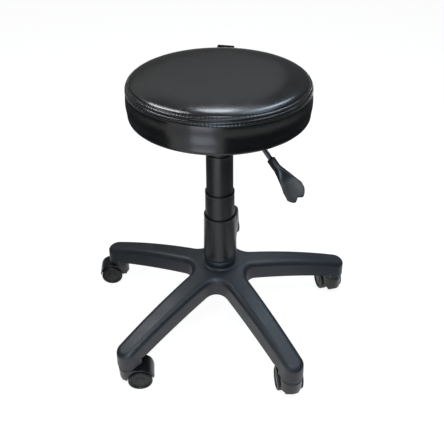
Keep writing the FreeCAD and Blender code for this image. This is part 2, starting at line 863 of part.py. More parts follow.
def paddle_blade():
    """The flat blade in its own plane: narrow at the socket, with two round lobes and a notch at the end."""
    neck_half = paddle_neck_width / 2
    end_half = paddle_end_width / 2
    start = paddle_socket_length / 2
    waist = paddle_socket_length + paddle_corner
    lobe = end_half / 2
    lobe_x = paddle_length - lobe
    diagonal = lobe * math.sqrt(0.5)
    flare = Vec((lobe_x + waist) / 2, (neck_half + end_half) / 2 - paddle_hollow, 0)
    dip = Vec(paddle_length - paddle_notch * paddle_notch_bend, lobe * paddle_notch_bend, 0)
    cheek = Vec(lobe_x + diagonal, lobe + diagonal, 0)

    def mirrored(point):
        return Vec(point.x, -point.y, point.z)

    right = [Vec(start, -neck_half, 0), Vec(waist, -neck_half, 0), Vec(lobe_x, -end_half, 0),
             Vec(paddle_length, -lobe, 0)]
    points = right + [Vec(paddle_length - paddle_notch, 0, 0)] + [mirrored(point) for point in reversed(right)]
    bulges = {1: mirrored(flare), 2: mirrored(cheek), 3: mirrored(dip), 4: dip, 5: cheek, 6: flare}
    blade = Part.Face(Part.Wire(chain(points, bulges))).extrude(Vec(0, 0, paddle_thickness))
    blade.translate(Vec(0, 0, -paddle_thickness / 2))
    uprights = [edge for edge in blade.Edges
                if edge.BoundBox.ZLength > paddle_thickness / 2 and edge.BoundBox.XMin > waist - paddle_corner]
    blade = blade.makeFillet(paddle_corner, uprights)
    flats = [edge for edge in blade.Edges if edge.BoundBox.ZLength < edge_match and edge.BoundBox.XMax > waist]
    return blade.makeFillet(paddle_edge_round, flats)


def lever_paddle():
    """The moulded paddle on the sloped end of the rod: its socket runs out as a ridge on the blade."""
    x_axis = Vec(1, 0, 0)
    ridge_end = paddle_socket_length + paddle_ridge
    socket = Part.makeCylinder(paddle_socket_radius, ridge_end, Vec(0, 0, 0), x_axis)
    socket = socket.makeFillet(paddle_ridge_round, end_circles(socket, x_axis, ridge_end))
    body = socket.fuse(paddle_blade()).removeSplitter()
    depth = lever_sloped_length - paddle_start
    bore = Part.makeCylinder(lever_radius + snug_fit, depth + drill_over, x_axis * -drill_over, x_axis)
    body = body.cut(bore)
    body.rotate(Vec(0, 0, 0), x_axis, paddle_twist)
    body.rotate(Vec(0, 0, 0), Y_AXIS, lever_bend_angle)
    body.translate(bend_end + slope * paddle_start)
    return spun(body, lever_angle)


def plate_bolts():
    """Four hexagon bolts up through the plate."""
    head_top = plate_bottom - washer_thickness
    corners = [polar(bolt_head_width / 2 / math.cos(math.radians(30)), 60.0 * k, head_top - bolt_head_height)
               for k in range(6)]
    head = Part.Face(Part.Wire(chain(corners))).extrude(Vec(0, 0, bolt_head_height))
    shank = ring(0, bolt_radius, head_top, board_top - thread_setback)
    return group(at_bolts(head.fuse(shank).removeSplitter()))


def bolt_washers():
    """A washer under each bolt head."""
    return group(at_bolts(ring(bolt_hole_radius, washer_radius, plate_bottom - washer_thickness, plate_bottom)))


def tee_nuts():
    """The flanged nuts let into the top of the board."""
    thread = bolt_radius + snug_fit
    step = board_top - tee_flange
    barrel = ring(thread, tee_barrel_radius, board_bottom + thread_setback, step)
    flange = ring(thread, tee_flange_radius, step, board_top)
    return group(at_bolts(barrel.fuse(flange).removeSplitter()))


# Casters are drawn with the stem on the origin and the wheels trailing along +X
axle_point = Vec(caster_trail, 0, wheel_radius)
collar_top = sleeve_bottom - collar_gap
cavity_radius = wheel_radius + hood_wheel_gap


def across(radius, y0, y1):
    """A cylinder along the axle between two distances from the middle."""
    return Part.makeCylinder(radius, y1 - y0, Vec(axle_point.x, y0, axle_point.z), Y_AXIS)


def plan_outline():
    """The hood seen from above: round at the stem and with round corners at the tail."""
    half = hood_half_width
    tail = axle_point.x + hood_radius + hood_tail_margin
    corner = tail - hood_tail_round
    diagonal = hood_tail_round * math.sqrt(0.5)
    inner = half - hood_tail_round
    points = [Vec(0, half, 0), Vec(0, -half, 0), Vec(corner, -half, 0), Vec(tail, -inner, 0),
              Vec(tail, inner, 0), Vec(corner, half, 0)]
    bulges = {0: Vec(-half, 0, 0), 2: Vec(corner + diagonal, -inner - diagonal, 0),
              4: Vec(corner + diagonal, inner + diagonal, 0)}
    return Part.Face(Part.Wire(chain(points, bulges))).extrude(Vec(0, 0, 2 * sleeve_bottom))


def hood_side(points, bulges, half):
    """A plate drawn in the XZ plane and made as wide as twice half."""
    face = Part.Face(Part.Wire(section(points, bulges)))
    solid = face.extrude(Vec(0, 2 * half, 0))
    solid.translate(Vec(0, -half, 0))
    return solid


def hood_fender():
    """The roof over both wheels, hollowed from each side, with rounded upper edges."""
    x, z = axle_point.x, axle_point.z
    crest = z + hood_radius
    rise = hood_radius * math.sqrt(0.5)
    roof = hood_side([(x + hood_radius, z), (x, crest), (-hood_half_width, crest), (-hood_half_width, z)],
                     {0: (x + rise, z + rise)}, hood_half_width)
    body = roof.common(plan_outline()).fuse(hood_nose())
    for side in (-1, 1):
        low, high = sorted((side * hood_web_half, side * 2 * hood_half_width))
        body = body.cut(across(cavity_radius, low, high))
    top_edges = [edge for edge in body.Edges if edge.BoundBox.ZMin > crest - edge_match]
    return body.makeFillet(hood_edge_round, top_edges)


def hood_nose():
    """The shield in front of the wheels, with round lower corners."""
    z = axle_point.z
    crest = z + hood_radius
    nose = hood_side([(-nose_top_reach, crest), (-nose_bottom_reach, nose_bottom),
                      (nose_wall - nose_bottom_reach, nose_bottom), (0, z), (0, crest)], None, nose_half_width)
    corners = [edge for edge in nose.Edges
               if edge.BoundBox.ZMax < nose_bottom + edge_match and edge.BoundBox.YLength < edge_match]
    shield = Part.makeCylinder(hood_half_width, crest, Vec(0, 0, 0))
    return nose.makeFillet(nose_corner, corners).common(shield)


def hood_web():
    """The wall between the wheels that carries the axle."""
    x, z = axle_point.x, axle_point.z
    reach = hood_radius - hood_web_inset
    rise = reach * math.sqrt(0.5)
    front = hood_web_inset - nose_bottom_reach
    return hood_side([(x + reach, z), (x, z + reach), (front, z + reach), (front, nose_bottom + hood_web_inset),
                      (0, nose_bottom), (x, z - wheel_hub_radius - hub_web_drop)],
                     {0: (x + rise, z + rise)}, hood_web_half)


def caster_hood():
    """The moulded hood: fender, nose, web, collar and stem housing in one piece."""
    boss_half = wheel_inner_face - part_gap
    far = 2 * hood_half_width
    collar = Part.makeCone(collar_radius + collar_flare, collar_radius, collar_drop,
                           Vec(0, 0, collar_top - collar_drop))
    collar = collar.cut(across(cavity_radius, -far, far))
    low = stem_foot - housing_floor
    housing = Part.makeCylinder(stem_housing_radius, collar_top - low, Vec(0, 0, low))
    axle_boss = across(wheel_hub_radius, -boss_half, boss_half)
    body = hood_fender().multiFuse([hood_web(), collar, housing, axle_boss])
    body = body.cut(across(axle_radius + snug_fit, -far, far))
    bore = Part.makeCylinder(stem_radius + running_fit, sleeve_bottom, Vec(0, 0, stem_foot - part_gap))
    return body.cut(bore).removeSplitter()


axle_half = wheel_outer_face - wheel_dish - wheel_web


def caster_wheel(side):
    """One wheel: round tread edges, a dished outer face with a closed hub cap, and an open inner face."""
    bore = axle_radius + running_fit
    inner, outer = wheel_inner_face, wheel_outer_face
    tread = inner + tread_setback
    turn = wheel_edge_round
    swell = turn * (1 - math.sqrt(0.5))
    dish = outer - wheel_dish
    pairs = [(bore, inner), (wheel_hub_radius, inner), (wheel_hub_radius, axle_half),
             (wheel_rim_radius, axle_half), (wheel_rim_radius, tread), (wheel_radius - turn, tread),
             (wheel_radius, tread + turn),
             (wheel_radius, outer - turn), (wheel_radius - turn, outer), (wheel_rim_radius, outer),
             (wheel_rim_radius - wheel_face_slope, dish), (hub_cap_radius + wheel_face_slope, dish),
             (hub_cap_radius, outer - hub_cap_sink), (0, outer - hub_cap_sink), (0, axle_half + part_gap),
             (bore, axle_half + part_gap)]
    bulges = {5: (wheel_radius - swell, tread + swell), 7: (wheel_radius - swell, outer - swell)}
    points = [Vec(axle_point.x + r, side * y, axle_point.z) for r, y in pairs]
    middles = {key: Vec(axle_point.x + r, side * y, axle_point.z) for key, (r, y) in bulges.items()}
    return revolved(chain(points, middles), axle_point, Y_AXIS)


def caster_axle():
    """The steel pin that carries both wheels."""
    return across(axle_radius, -axle_half, axle_half)


def stem_top():
    """The height that the caster stems reach in the base."""
    return sleeve_bottom + socket_depth - socket_end_gap


def caster_stem():
    """A stem with a groove for its grip ring."""
    shaft = ring(0, stem_radius, stem_foot, stem_top())
    high = stem_top() - grip_ring_length
    groove = ring(stem_radius - grip_ring_wall - snug_fit, 2 * stem_radius, high - grip_ring_length, high)
    return shaft.cut(groove)


def grip_ring():
    """The split spring ring in the stem's groove."""
    high = stem_top() - grip_ring_length - snug_fit
    low = high - grip_ring_length + 2 * snug_fit
    clip = ring(stem_radius - grip_ring_wall, stem_radius, low, high)
    return clip.cut(tube_box(0, 2 * stem_radius, grip_slot / 2, low, high))


def at_leg(shape, index, turn=0.0):
    """A caster piece turned about its stem and set at a leg end."""
    copy = spun(shape, turn)
    copy.translate(polar(stem_circle_radius, leg_angles[index]))
    return copy


def caster_parts():
    """The pieces of the five casters, each turned to its own resting angle."""
    hood, axle = caster_hood(), caster_axle()
    wheel_a, wheel_b = caster_wheel(-1), caster_wheel(1)
    pieces = {"caster_stems": group([at_leg(caster_stem(), k) for k in range(leg_count)]),
              "grip_rings": group([at_leg(grip_ring(), k) for k in range(leg_count)])}
    for index, turn in enumerate(caster_trail_angles):
        number = index + 1
        pieces[f"caster_hood_{number}"] = at_leg(hood, index, turn)
        pieces[f"caster_axle_{number}"] = at_leg(axle, index, turn)
        pieces[f"caster_wheel_a_{number}"] = at_leg(wheel_a, index, turn)
        pieces[f"caster_wheel_b_{number}"] = at_leg(wheel_b, index, turn)
    return pieces


def lift_parts():
    """The gas lift and its telescopic cover."""
    return {"stand_tube": stand_tube(),
            "guide_bush": guide_bush(),
            "bearing_race_lower": ring(race_inner_radius, race_outer_radius, bearing_floor,
                                       bearing_floor + race_thickness),
            "bearing_balls": bearing_balls(),
            "bearing_race_upper": ring(rod_radius + snug_fit, race_outer_radius, upper_race, bump_bottom),
            "bump_stop": ring(rod_radius + snug_fit, bump_radius, bump_bottom, bump_bottom + bump_height),
            "retaining_clip": retaining_clip(),
            "piston_rod": piston_rod(),
            "piston": piston(),
            "piston_seal": piston_seal(),
            "pressure_tube": pressure_tube(),
            "rod_guide": rod_guide(),
            "rod_seal": rod_seal(),
            "valve_body": valve_body(),
            "release_pin": release_pin(),
            "cover_lower": cover(lower_cover_foot, lower_cover_head, cover_seat_height, lower_cover_top),
            "cover_middle": cover(middle_cover_foot, middle_cover_head, middle_cover_bottom, middle_cover_top,
                                  middle_cover_bead),
            "cover_upper": cover(upper_cover_foot, upper_cover_head, upper_cover_bottom, upper_cover_top,
                                 upper_cover_bead, pressure_tube_radius + snug_fit)}


def seat_parts():
    """The cushion, its plate and the lever."""
    return {"seat_board": seat_board(),
            "seat_foam": seat_foam(),
            "seat_top_panel": seat_top_panel(),
            "seat_band": seat_band(),
            "dust_cover": dust_cover(),
            "rear_tab": rear_tab(),
            "mounting_plate": mounting_plate(),
            "taper_boss": taper_boss(),
            "taper_bush": taper_bush(),
            "plate_bolts": plate_bolts(),
            "bolt_washers": bolt_washers(),
            "tee_nuts": tee_nuts(),
            "lever_bracket": lever_bracket(),
            "lever_pivot_pin": lever_pivot_pin(),
            "lever_rod": lever_rod(),
            "lever_paddle": lever_paddle()}


def main():
    """Build every piece and write it under its own name."""
    os.makedirs("parts", exist_ok=True)
    pieces = {"star_base": star_base()}
    pieces.update(lift_parts())
    pieces.update(seat_parts())
    pieces.update(caster_parts())
    for name, shape in pieces.items():
        shape.exportStep(f"parts/{name}.step")
        print(f"{name}: {len(shape.Solids)} solids, {shape.Volume / 1000:.2f} cm3, valid {shape.isValid()}")


main()
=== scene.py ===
"""Looks of a pneumatic rolling stool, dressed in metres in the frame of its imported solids."""

import logging
import math
from dataclasses import dataclass, field
from enum import Enum, IntEnum
from functools import cache

import bmesh
import bpy
import numpy as np
from mathutils import Matrix, Vector


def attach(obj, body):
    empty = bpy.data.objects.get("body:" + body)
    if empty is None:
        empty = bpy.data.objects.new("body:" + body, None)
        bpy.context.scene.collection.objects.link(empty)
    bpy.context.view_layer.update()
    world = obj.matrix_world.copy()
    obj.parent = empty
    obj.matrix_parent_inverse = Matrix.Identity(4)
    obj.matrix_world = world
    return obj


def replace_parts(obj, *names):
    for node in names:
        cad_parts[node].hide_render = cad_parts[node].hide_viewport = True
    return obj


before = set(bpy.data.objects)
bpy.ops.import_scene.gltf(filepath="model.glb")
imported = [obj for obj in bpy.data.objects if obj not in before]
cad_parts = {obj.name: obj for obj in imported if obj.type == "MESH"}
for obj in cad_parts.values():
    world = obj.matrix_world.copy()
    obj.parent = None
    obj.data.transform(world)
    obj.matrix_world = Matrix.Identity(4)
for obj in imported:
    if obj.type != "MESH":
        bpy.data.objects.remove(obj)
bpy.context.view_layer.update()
LOG = logging.getLogger("stool")
MM = 0.001
MERGE = 0.0001 * MM
WHITE = (1.0, 1.0, 1.0, 1.0)

# Sockets of a Mix node that blends colours
FACTOR, FIRST, SECOND, BLENDED = 0, 6, 7, 2

# Most values of a noise lie in the first span. The second says how well a softened normal agrees
# with the true one, from a flat place to an edge.
NOISE_SPAN = (0.3, 0.7)
EDGE_SPAN = (1.0, 0.8)

Array = np.ndarray
Piece = bpy.types.Object
Socket = bpy.types.NodeSocket
Tree = bpy.types.NodeTree
Pair = tuple[float, float]
Triple = tuple[float, float, float]
Names = tuple[str, ...]


class Grain(Enum):
    """Kinds of fine surface relief."""

    PEBBLE = "pebble"
    SPARK = "spark"
    DRAWN = "drawn"
    WEAVE = "weave"
    PLY = "ply"

    @property
    def stretch(self) -> Triple:
        """Scale of the noise along x, y and z."""
        long_ways = {Grain.DRAWN: (1.0, 1.0, 0.03), Grain.PLY: (0.05, 1.0, 1.0)}
        return long_ways.get(self, (1.0, 1.0, 1.0))


def linear(code: str) -> tuple[float, float, float, float]:
    """Turn an sRGB hex code into linear light.

    Args:
        code: six hex digits after a hash sign.

    Returns:
        Red, green, blue and a full alpha.
    """
    parts = np.array([int(code[k:k + 2], 16) for k in (1, 3, 5)]) / 255.0
    low, high = parts / 12.92, ((parts + 0.055) / 1.055) ** 2.4
    return (*np.where(parts <= 0.04045, low, high).tolist(), 1.0)


def ramp(value: Array, span: Pair) -> Array:
    """Rise evenly from 0 at the span's start to 1 at its end."""
    return np.clip((value - span[0]) / (span[1] - span[0]), 0.0, 1.0)


def circle(count: int) -> Array:
    """Angles of points that are evenly spaced round a circle."""
    return np.linspace(0.0, math.tau, count, endpoint=False)


def bell(offset: Array, half_width: float) -> Array:
    """Gaussian that is 1 at no offset and falls to 1/e at the half width."""
    return np.exp(-(offset / half_width) ** 2)


def squared_off(wave: Array, power: Array | float) -> Array:
    """Raise a sine or cosine to a power and keep its sign, as round a superellipse."""
    return np.sign(wave) * np.abs(wave) ** power


def polar(radius: Array | float, turn: Array | float, level: Array | float) -> Array:
    """Points, with x, y and z on the last axis, from radius, angle and height broadcast together."""
    parts = np.broadcast_arrays(radius * np.cos(turn), radius * np.sin(turn), level)
    return np.stack(parts, axis=-1)


def add_node(tree: Tree, kind: str, inputs: dict[str | int, object] | None = None,
             **settings: object) -> bpy.types.Node:
    """Add one node with its settings, and set or link its inputs.

    Args:
        tree: the node tree.
        kind: the node's type name.
        inputs: input name or number, to a value or to the socket linked to it.
        settings: the node's own properties.

    Returns:
        The new node.
    """
    node = tree.nodes.new(kind)
    for name, value in settings.items():
        setattr(node, name, value)
    for key, value in (inputs or {}).items():
        if isinstance(value, Socket):
            tree.links.new(value, node.inputs[key])
        else:
            node.inputs[key].default_value = value
    return node


def new_material(name: str) -> bpy.types.Material:
    """Make a material with an empty node tree.

    Args:
        name: the material's name.

    Returns:
        The new material.
    """
    made = bpy.data.materials.new(name)
    made.use_nodes = True
    made.node_tree.nodes.clear()
    return made


@dataclass(frozen=True)
class Finish:
    """One real material: two close tones, a range of roughness and a fine relief."""

    name: str
    colour: str
    shade: str
    roughness: Pair
    grain: Grain
    grain_mm: float
    relief_mm: float
    metallic: float = 0.0
    specular: float = 0.5
    mottle_mm: float = 30.0
    ripple_mm: float = 18.0
    ripple_relief_mm: float = 0.0
    ripple_stretch: Triple = (1.0, 1.0, 1.0)
    rubbed: str = ""
    rub_mm: float = 1.2

    def height(self, tree: Tree, place: Socket) -> Socket:
        """Lay out the height of the fine grain.

        Args:
            tree: the material's node tree.
            place: the coordinates in metres.

        Returns:
            The socket with the height, from about 0 to 1.
        """
        scale = 1.0 / (self.grain_mm * MM)
        if self.grain is Grain.PEBBLE:
            cells = add_node(tree, "ShaderNodeTexVoronoi", {"Vector": place, "Scale": scale},
                             feature="SMOOTH_F1")
            return cells.outputs["Distance"]
        if self.grain is Grain.WEAVE:
            # A wave repeats about every 1/pi of its scaled length.
            ribs = [add_node(tree, "ShaderNodeTexWave", {"Vector": place, "Scale": scale / math.pi},
                             bands_direction=axis).outputs["Fac"] for axis in ("X", "Y")]
            both = add_node(tree, "ShaderNodeMath", {0: ribs[0], 1: ribs[1]}, operation="MULTIPLY")
            return both.outputs[0]
        drawn = add_node(tree, "ShaderNodeMapping", {"Vector": place, "Scale": self.grain.stretch})
        noise = add_node(tree, "ShaderNodeTexNoise",
                         {"Vector": drawn.outputs[0], "Scale": scale, "Detail": 3.0})
        return noise.outputs["Fac"]

    def relief(self, tree: Tree, place: Socket) -> Socket:
        """Bump the surface with its grain and, where it has them, with slow ripples.

        Args:
            tree: the material's node tree.
            place: the coordinates in metres.

        Returns:
            The socket with the normal.
        """
        bump = add_node(tree, "ShaderNodeBump", {"Height": self.height(tree, place), "Strength": 1.0,
                                                 "Distance": self.relief_mm * MM})
        if not self.ripple_relief_mm:
            return bump.outputs[0]
        drawn = add_node(tree, "ShaderNodeMapping", {"Vector": place, "Scale": self.ripple_stretch})
        slow = add_node(tree, "ShaderNodeTexNoise",
                        {"Vector": drawn.outputs[0], "Scale": 1.0 / (self.ripple_mm * MM), "Detail": 2.0})
        bump = add_node(tree, "ShaderNodeBump", {"Height": slow.outputs["Fac"], "Strength": 1.0,
                                                 "Distance": self.ripple_relief_mm * MM,
                                                 "Normal": bump.outputs[0]})
        return bump.outputs[0]

    def worn(self, tree: Tree, tone: Socket, patches: Socket) -> Socket:
        """Rub the edges lighter, in patches.

        An edge is where the normal averaged over a small ball leaves the true normal.

        Args:
            tree: the material's node tree.
            tone: the colour away from edges.
            patches: a slow noise that breaks the rubbing up.

        Returns:
            The socket with the colour.
        """
        soft = add_node(tree, "ShaderNodeBevel", {"Radius": self.rub_mm * MM}, samples=4)
        true = add_node(tree, "ShaderNodeNewGeometry")
        match = add_node(tree, "ShaderNodeVectorMath",
                         {0: soft.outputs[0], 1: true.outputs["Normal"]}, operation="DOT_PRODUCT")
        edge = add_node(tree, "ShaderNodeMapRange", {"Value": match.outputs["Value"],
                                                     "From Min": EDGE_SPAN[0], "From Max": EDGE_SPAN[1]})
        part = add_node(tree, "ShaderNodeMath", {0: edge.outputs[0], 1: patches}, operation="MULTIPLY")
        mixed = add_node(tree, "ShaderNodeMix",
                         {FACTOR: part.outputs[0], FIRST: tone, SECOND: linear(self.rubbed)},
                         data_type="RGBA")
        return mixed.outputs[BLENDED]

    def fill(self, tree: Tree) -> None:
        """Build the shader.

        Args:
            tree: the material's empty node tree.
        """
        place = add_node(tree, "ShaderNodeTexCoord").outputs["Object"]
        mottle = add_node(tree, "ShaderNodeTexNoise",
                          {"Vector": place, "Scale": 1.0 / (self.mottle_mm * MM), "Detail": 4.0})
        patches = mottle.outputs["Fac"]
        mixed = add_node(tree, "ShaderNodeMix",
                         {FACTOR: patches, FIRST: linear(self.colour), SECOND: linear(self.shade)},
                         data_type="RGBA")
        tone = mixed.outputs[BLENDED]
        if self.rubbed:
            tone = self.worn(tree, tone, patches)
        gloss = add_node(tree, "ShaderNodeMapRange",
                         {"Value": patches, "From Min": NOISE_SPAN[0], "From Max": NOISE_SPAN[1],
                          "To Min": self.roughness[0], "To Max": self.roughness[1]})
        shader = add_node(tree, "ShaderNodeBsdfPrincipled",
                          {"Base Color": tone, "Roughness": gloss.outputs[0],
                           "Normal": self.relief(tree, place), "Metallic": self.metallic,
                           "Specular IOR Level": self.specular})
        add_node(tree, "ShaderNodeOutputMaterial", {"Surface": shader.outputs[0]})


@cache
def material_of(finish: Finish) -> bpy.types.Material:
    """Make a finish's material the first time it is asked for.

    Args:
        finish: the finish.

    Returns:
        The one material of that finish.
    """
    made = new_material(finish.name)
    finish.fill(made.node_tree)
    return made


# Embossed vinyl: near black, greyed by its satin sheen. Its pebbles of 0.9 mm are drawn at 2 mm,
# and slack in the skin shows as long ripples round the band.
VINYL = Finish("embossed_vinyl", "#1b1b1c", "#212121", (0.19, 0.25), Grain.PEBBLE, 2.0, 0.025,
               specular=0.4, ripple_mm=9.0, ripple_relief_mm=0.065, ripple_stretch=(1.0, 1.0, 3.0))
# Bonded polyester thread: a touch lighter and duller than the vinyl round it. The lighter tone is
# partly a painted sheen for the stitches' glint. Its twist of 0.4 mm is drawn at 0.8 mm.
THREAD = Finish("polyester_thread", "#34353a", "#3f4046", (0.38, 0.48), Grain.SPARK, 0.8, 0.03)
# Woven nylon webbing: matt black ribs of 1.6 mm that catch light across the strap.
WEBBING = Finish("nylon_webbing", "#121213", "#19191a", (0.75, 0.88), Grain.WEAVE, 1.6, 0.2, specular=0.03)
# Spun-bonded cloth: flat black and dry. Its bonding points of 0.7 mm are drawn at 1.4 mm.
DUST_CLOTH = Finish("spunbond_cloth", "#141415", "#1c1c1d", (0.85, 0.95), Grain.WEAVE, 1.4, 0.1)
# Birch plywood: pale layers of 1.2 mm with long grain, seen only at the board's edge from below.
PLYWOOD = Finish("birch_plywood", "#c9a877", "#b08c5a", (0.55, 0.7), Grain.PLY, 1.2, 0.05, mottle_mm=12.0)
# Glass-filled nylon of the base: blue-grey black. Its spark texture of 0.3 mm, drawn at 1.2 mm,
# spreads the highlights.
BASE_NYLON = Finish("glass_filled_nylon", "#262a30", "#2d333a", (0.42, 0.5), Grain.SPARK, 1.2, 0.04,
                    rubbed="#4a5058")
# Polypropylene covers: smoother than the base, so an upright highlight runs down them. Their
# texture of 0.3 mm is drawn at 1.4 mm.
COVER_PLASTIC = Finish("polypropylene", "#202123", "#262729", (0.36, 0.42), Grain.SPARK, 1.4, 0.015,
                       rubbed="#3c3e42")
# Moulded nylon of the caster hoods: near black with a satin shine on its round shoulders. Its
# texture of 0.2 mm is drawn at 1.2 mm.
HOOD_NYLON = Finish("caster_nylon", "#141516", "#191a1c", (0.3, 0.38), Grain.SPARK, 1.2, 0.02,
                    specular=0.44, rubbed="#3a3c40")
# Hard nylon wheels: the same black, duller where they meet the floor. Their scuffs are 1 mm.
WHEEL_NYLON = Finish("wheel_nylon", "#111213", "#171819", (0.42, 0.55), Grain.SPARK, 1.0, 0.03,
                     specular=0.4, rubbed="#3c3c3e")
# Moulded paddle: black ABS, spark-eroded for grip, so its sheen is broken into fine patches. The
# texture of 0.5 mm is drawn at 1.8 mm.
PADDLE_PLASTIC = Finish("abs_paddle", "#1d1e20", "#242527", (0.32, 0.42), Grain.SPARK, 1.8, 0.1,
                        specular=0.34, rubbed="#3a3b3d")
# Chromed steel: bright, with faint lines from drawing. The lines of 0.1 mm are drawn at 0.8 mm,
# here and on the next two metals.
BRIGHT_STEEL = Finish("chromed_steel", "#d6d8da", "#c6c9cc", (0.12, 0.2), Grain.DRAWN, 0.8, 0.01,
                      metallic=1.0)
# Plain turned steel: grey and duller than the chrome.
PLAIN_STEEL = Finish("turned_steel", "#9c9ea1", "#8b8d90", (0.3, 0.42), Grain.DRAWN, 0.8, 0.02,
                     metallic=1.0)
# Brass: warm yellow, lightly tarnished.
BRASS = Finish("brass", "#b8923f", "#9c7a34", (0.25, 0.4), Grain.DRAWN, 0.8, 0.01, metallic=1.0)
# Black powder paint on pressed steel: dull, with an orange peel of 2.2 mm.
BLACK_STEEL = Finish("black_painted_steel", "#19191a", "#202021", (0.4, 0.5), Grain.SPARK, 2.2,
                     0.06, rubbed="#5a5a5c")
# Natural nylon: a milky white bush with a turned surface. Its marks of 0.3 mm are drawn at 1.2 mm.
WHITE_NYLON = Finish("natural_nylon", "#dcdad2", "#d0cec5", (0.4, 0.5), Grain.SPARK, 1.2, 0.02)
# Nitrile rubber: matt black seals and stop. Their bloom is in specks of 1 mm.
RUBBER = Finish("nitrile_rubber", "#141414", "#1b1b1b", (0.7, 0.85), Grain.SPARK, 1.0, 0.04)


def dress(finish: Finish, *nodes: str) -> None:
    """Give solids their finish.

    Args:
        finish: the finish.
        nodes: names of the solids' nodes.
    """
    for name in nodes:
        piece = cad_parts[name]
        if not piece.material_slots:
            piece.data.materials.append(None)
        for place in piece.material_slots:
            place.link = "OBJECT"
            place.material = material_of(finish)
        LOG.info("%s: %s", name, finish.name)


def grid_faces(rows: int, columns: int, wrap: bool = True) -> Array:
    """List the quads of a grid of points.

    Args:
        rows: number of rows.
        columns: number of points in a row.
        wrap: whether each row closes on itself.

    Returns:
        One row of four point numbers for each quad.
    """
    index = np.arange(rows * columns).reshape(rows, columns)
    if wrap:
        index = np.hstack([index, index[:, :1]])
    corners = [index[:-1, :-1], index[1:, :-1], index[1:, 1:], index[:-1, 1:]]
    return np.stack(corners, axis=-1).reshape(-1, 4)


def new_object(name: str, points: Array, faces: Array) -> Piece:
    """Make a mesh object in the scene.

    Args:
        name: the object's name.
        points: an array whose last axis is x, y and z in metres.
        faces: point numbers of each face, one row each.

    Returns:
        The new object.
    """
    mesh = bpy.data.meshes.new(name)
    mesh.from_pydata(points.reshape(-1, 3), [], faces.tolist())
    made = bpy.data.objects.new(name, mesh)
    bpy.context.scene.collection.objects.link(made)
    return made


def mesh_piece(name: str, points: Array, faces: Array, finish: Finish, body: str) -> Piece:
    """Make a smooth mesh piece that rides on a body. Points that coincide are merged.

    Args:
        name: the piece's name.
        points: an array whose last axis is x, y and z in metres.
        faces: point numbers of each quad.
        finish: the piece's finish.
        body: the body that it moves with.

    Returns:
        The new piece.
    """
    piece = new_object(name, points, faces)
    mesh = piece.data
    work = bmesh.new()
    work.from_mesh(mesh)
    bmesh.ops.remove_doubles(work, verts=work.verts, dist=MERGE)
    work.to_mesh(mesh)
    work.free()
    mesh.polygons.foreach_set("use_smooth", np.ones(len(mesh.polygons), dtype=bool))
    mesh.materials.append(material_of(finish))
    LOG.info("%s: %d faces, %s", name, len(mesh.polygons), finish.name)
    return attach(piece, body)


@dataclass(frozen=True)
class Bead:
    """A short rounded rod that bows up out of a surface, such as a stitch or a staple."""

    length: float
    half_width: float
    half_height: float
    bow: float
    rows: int = 7
    sides: int = 6

    def lay(self, centre: Array, along: Array, out: Array) -> tuple[Array, Array]:
        """Lay one bead at each place.

        The middle line rises out of the surface as a parabola, and the section is an ellipse that
        shrinks to a point at both ends.

        Args:
            centre: the places, one row each.
            along: unit directions of the beads.
            out: unit directions out of the surface.

        Returns:
            Points of all beads, and their quads.
        """
        part = np.linspace(-1.0, 1.0, self.rows)[None, :, None, None]
        turn = circle(self.sides)[None, None, :, None]
        thick = np.sqrt(np.clip(1.0 - np.abs(part) ** 4, 0.0, 1.0))
        side = np.cross(out, along)[:, None, None, :] * (self.half_width * thick * np.sin(turn))
        line = centre[:, None, None, :] + along[:, None, None, :] * (part * self.length / 2)
        lift = self.bow * (1.0 - 2.0 * part ** 2) + self.half_height * thick * np.cos(turn)
        points = line + out[:, None, None, :] * lift + side
        one = grid_faces(self.rows, self.sides)
        step = self.rows * self.sides * np.arange(len(centre))
        return points, (one[None] + step[:, None, None]).reshape(-1, 4)


class Run(IntEnum):
    """Runs of the seat's outline, in order from the middle of its crown."""

    CROWN = 1
    RIM = 2
    BAND = 3
    ROUND = 4
    FLANGE = 5
    CUT_EDGE = 6
    BOARD_BOTTOM = 7
    BOARD_SIDE = 8
    BOARD_TOP = 9


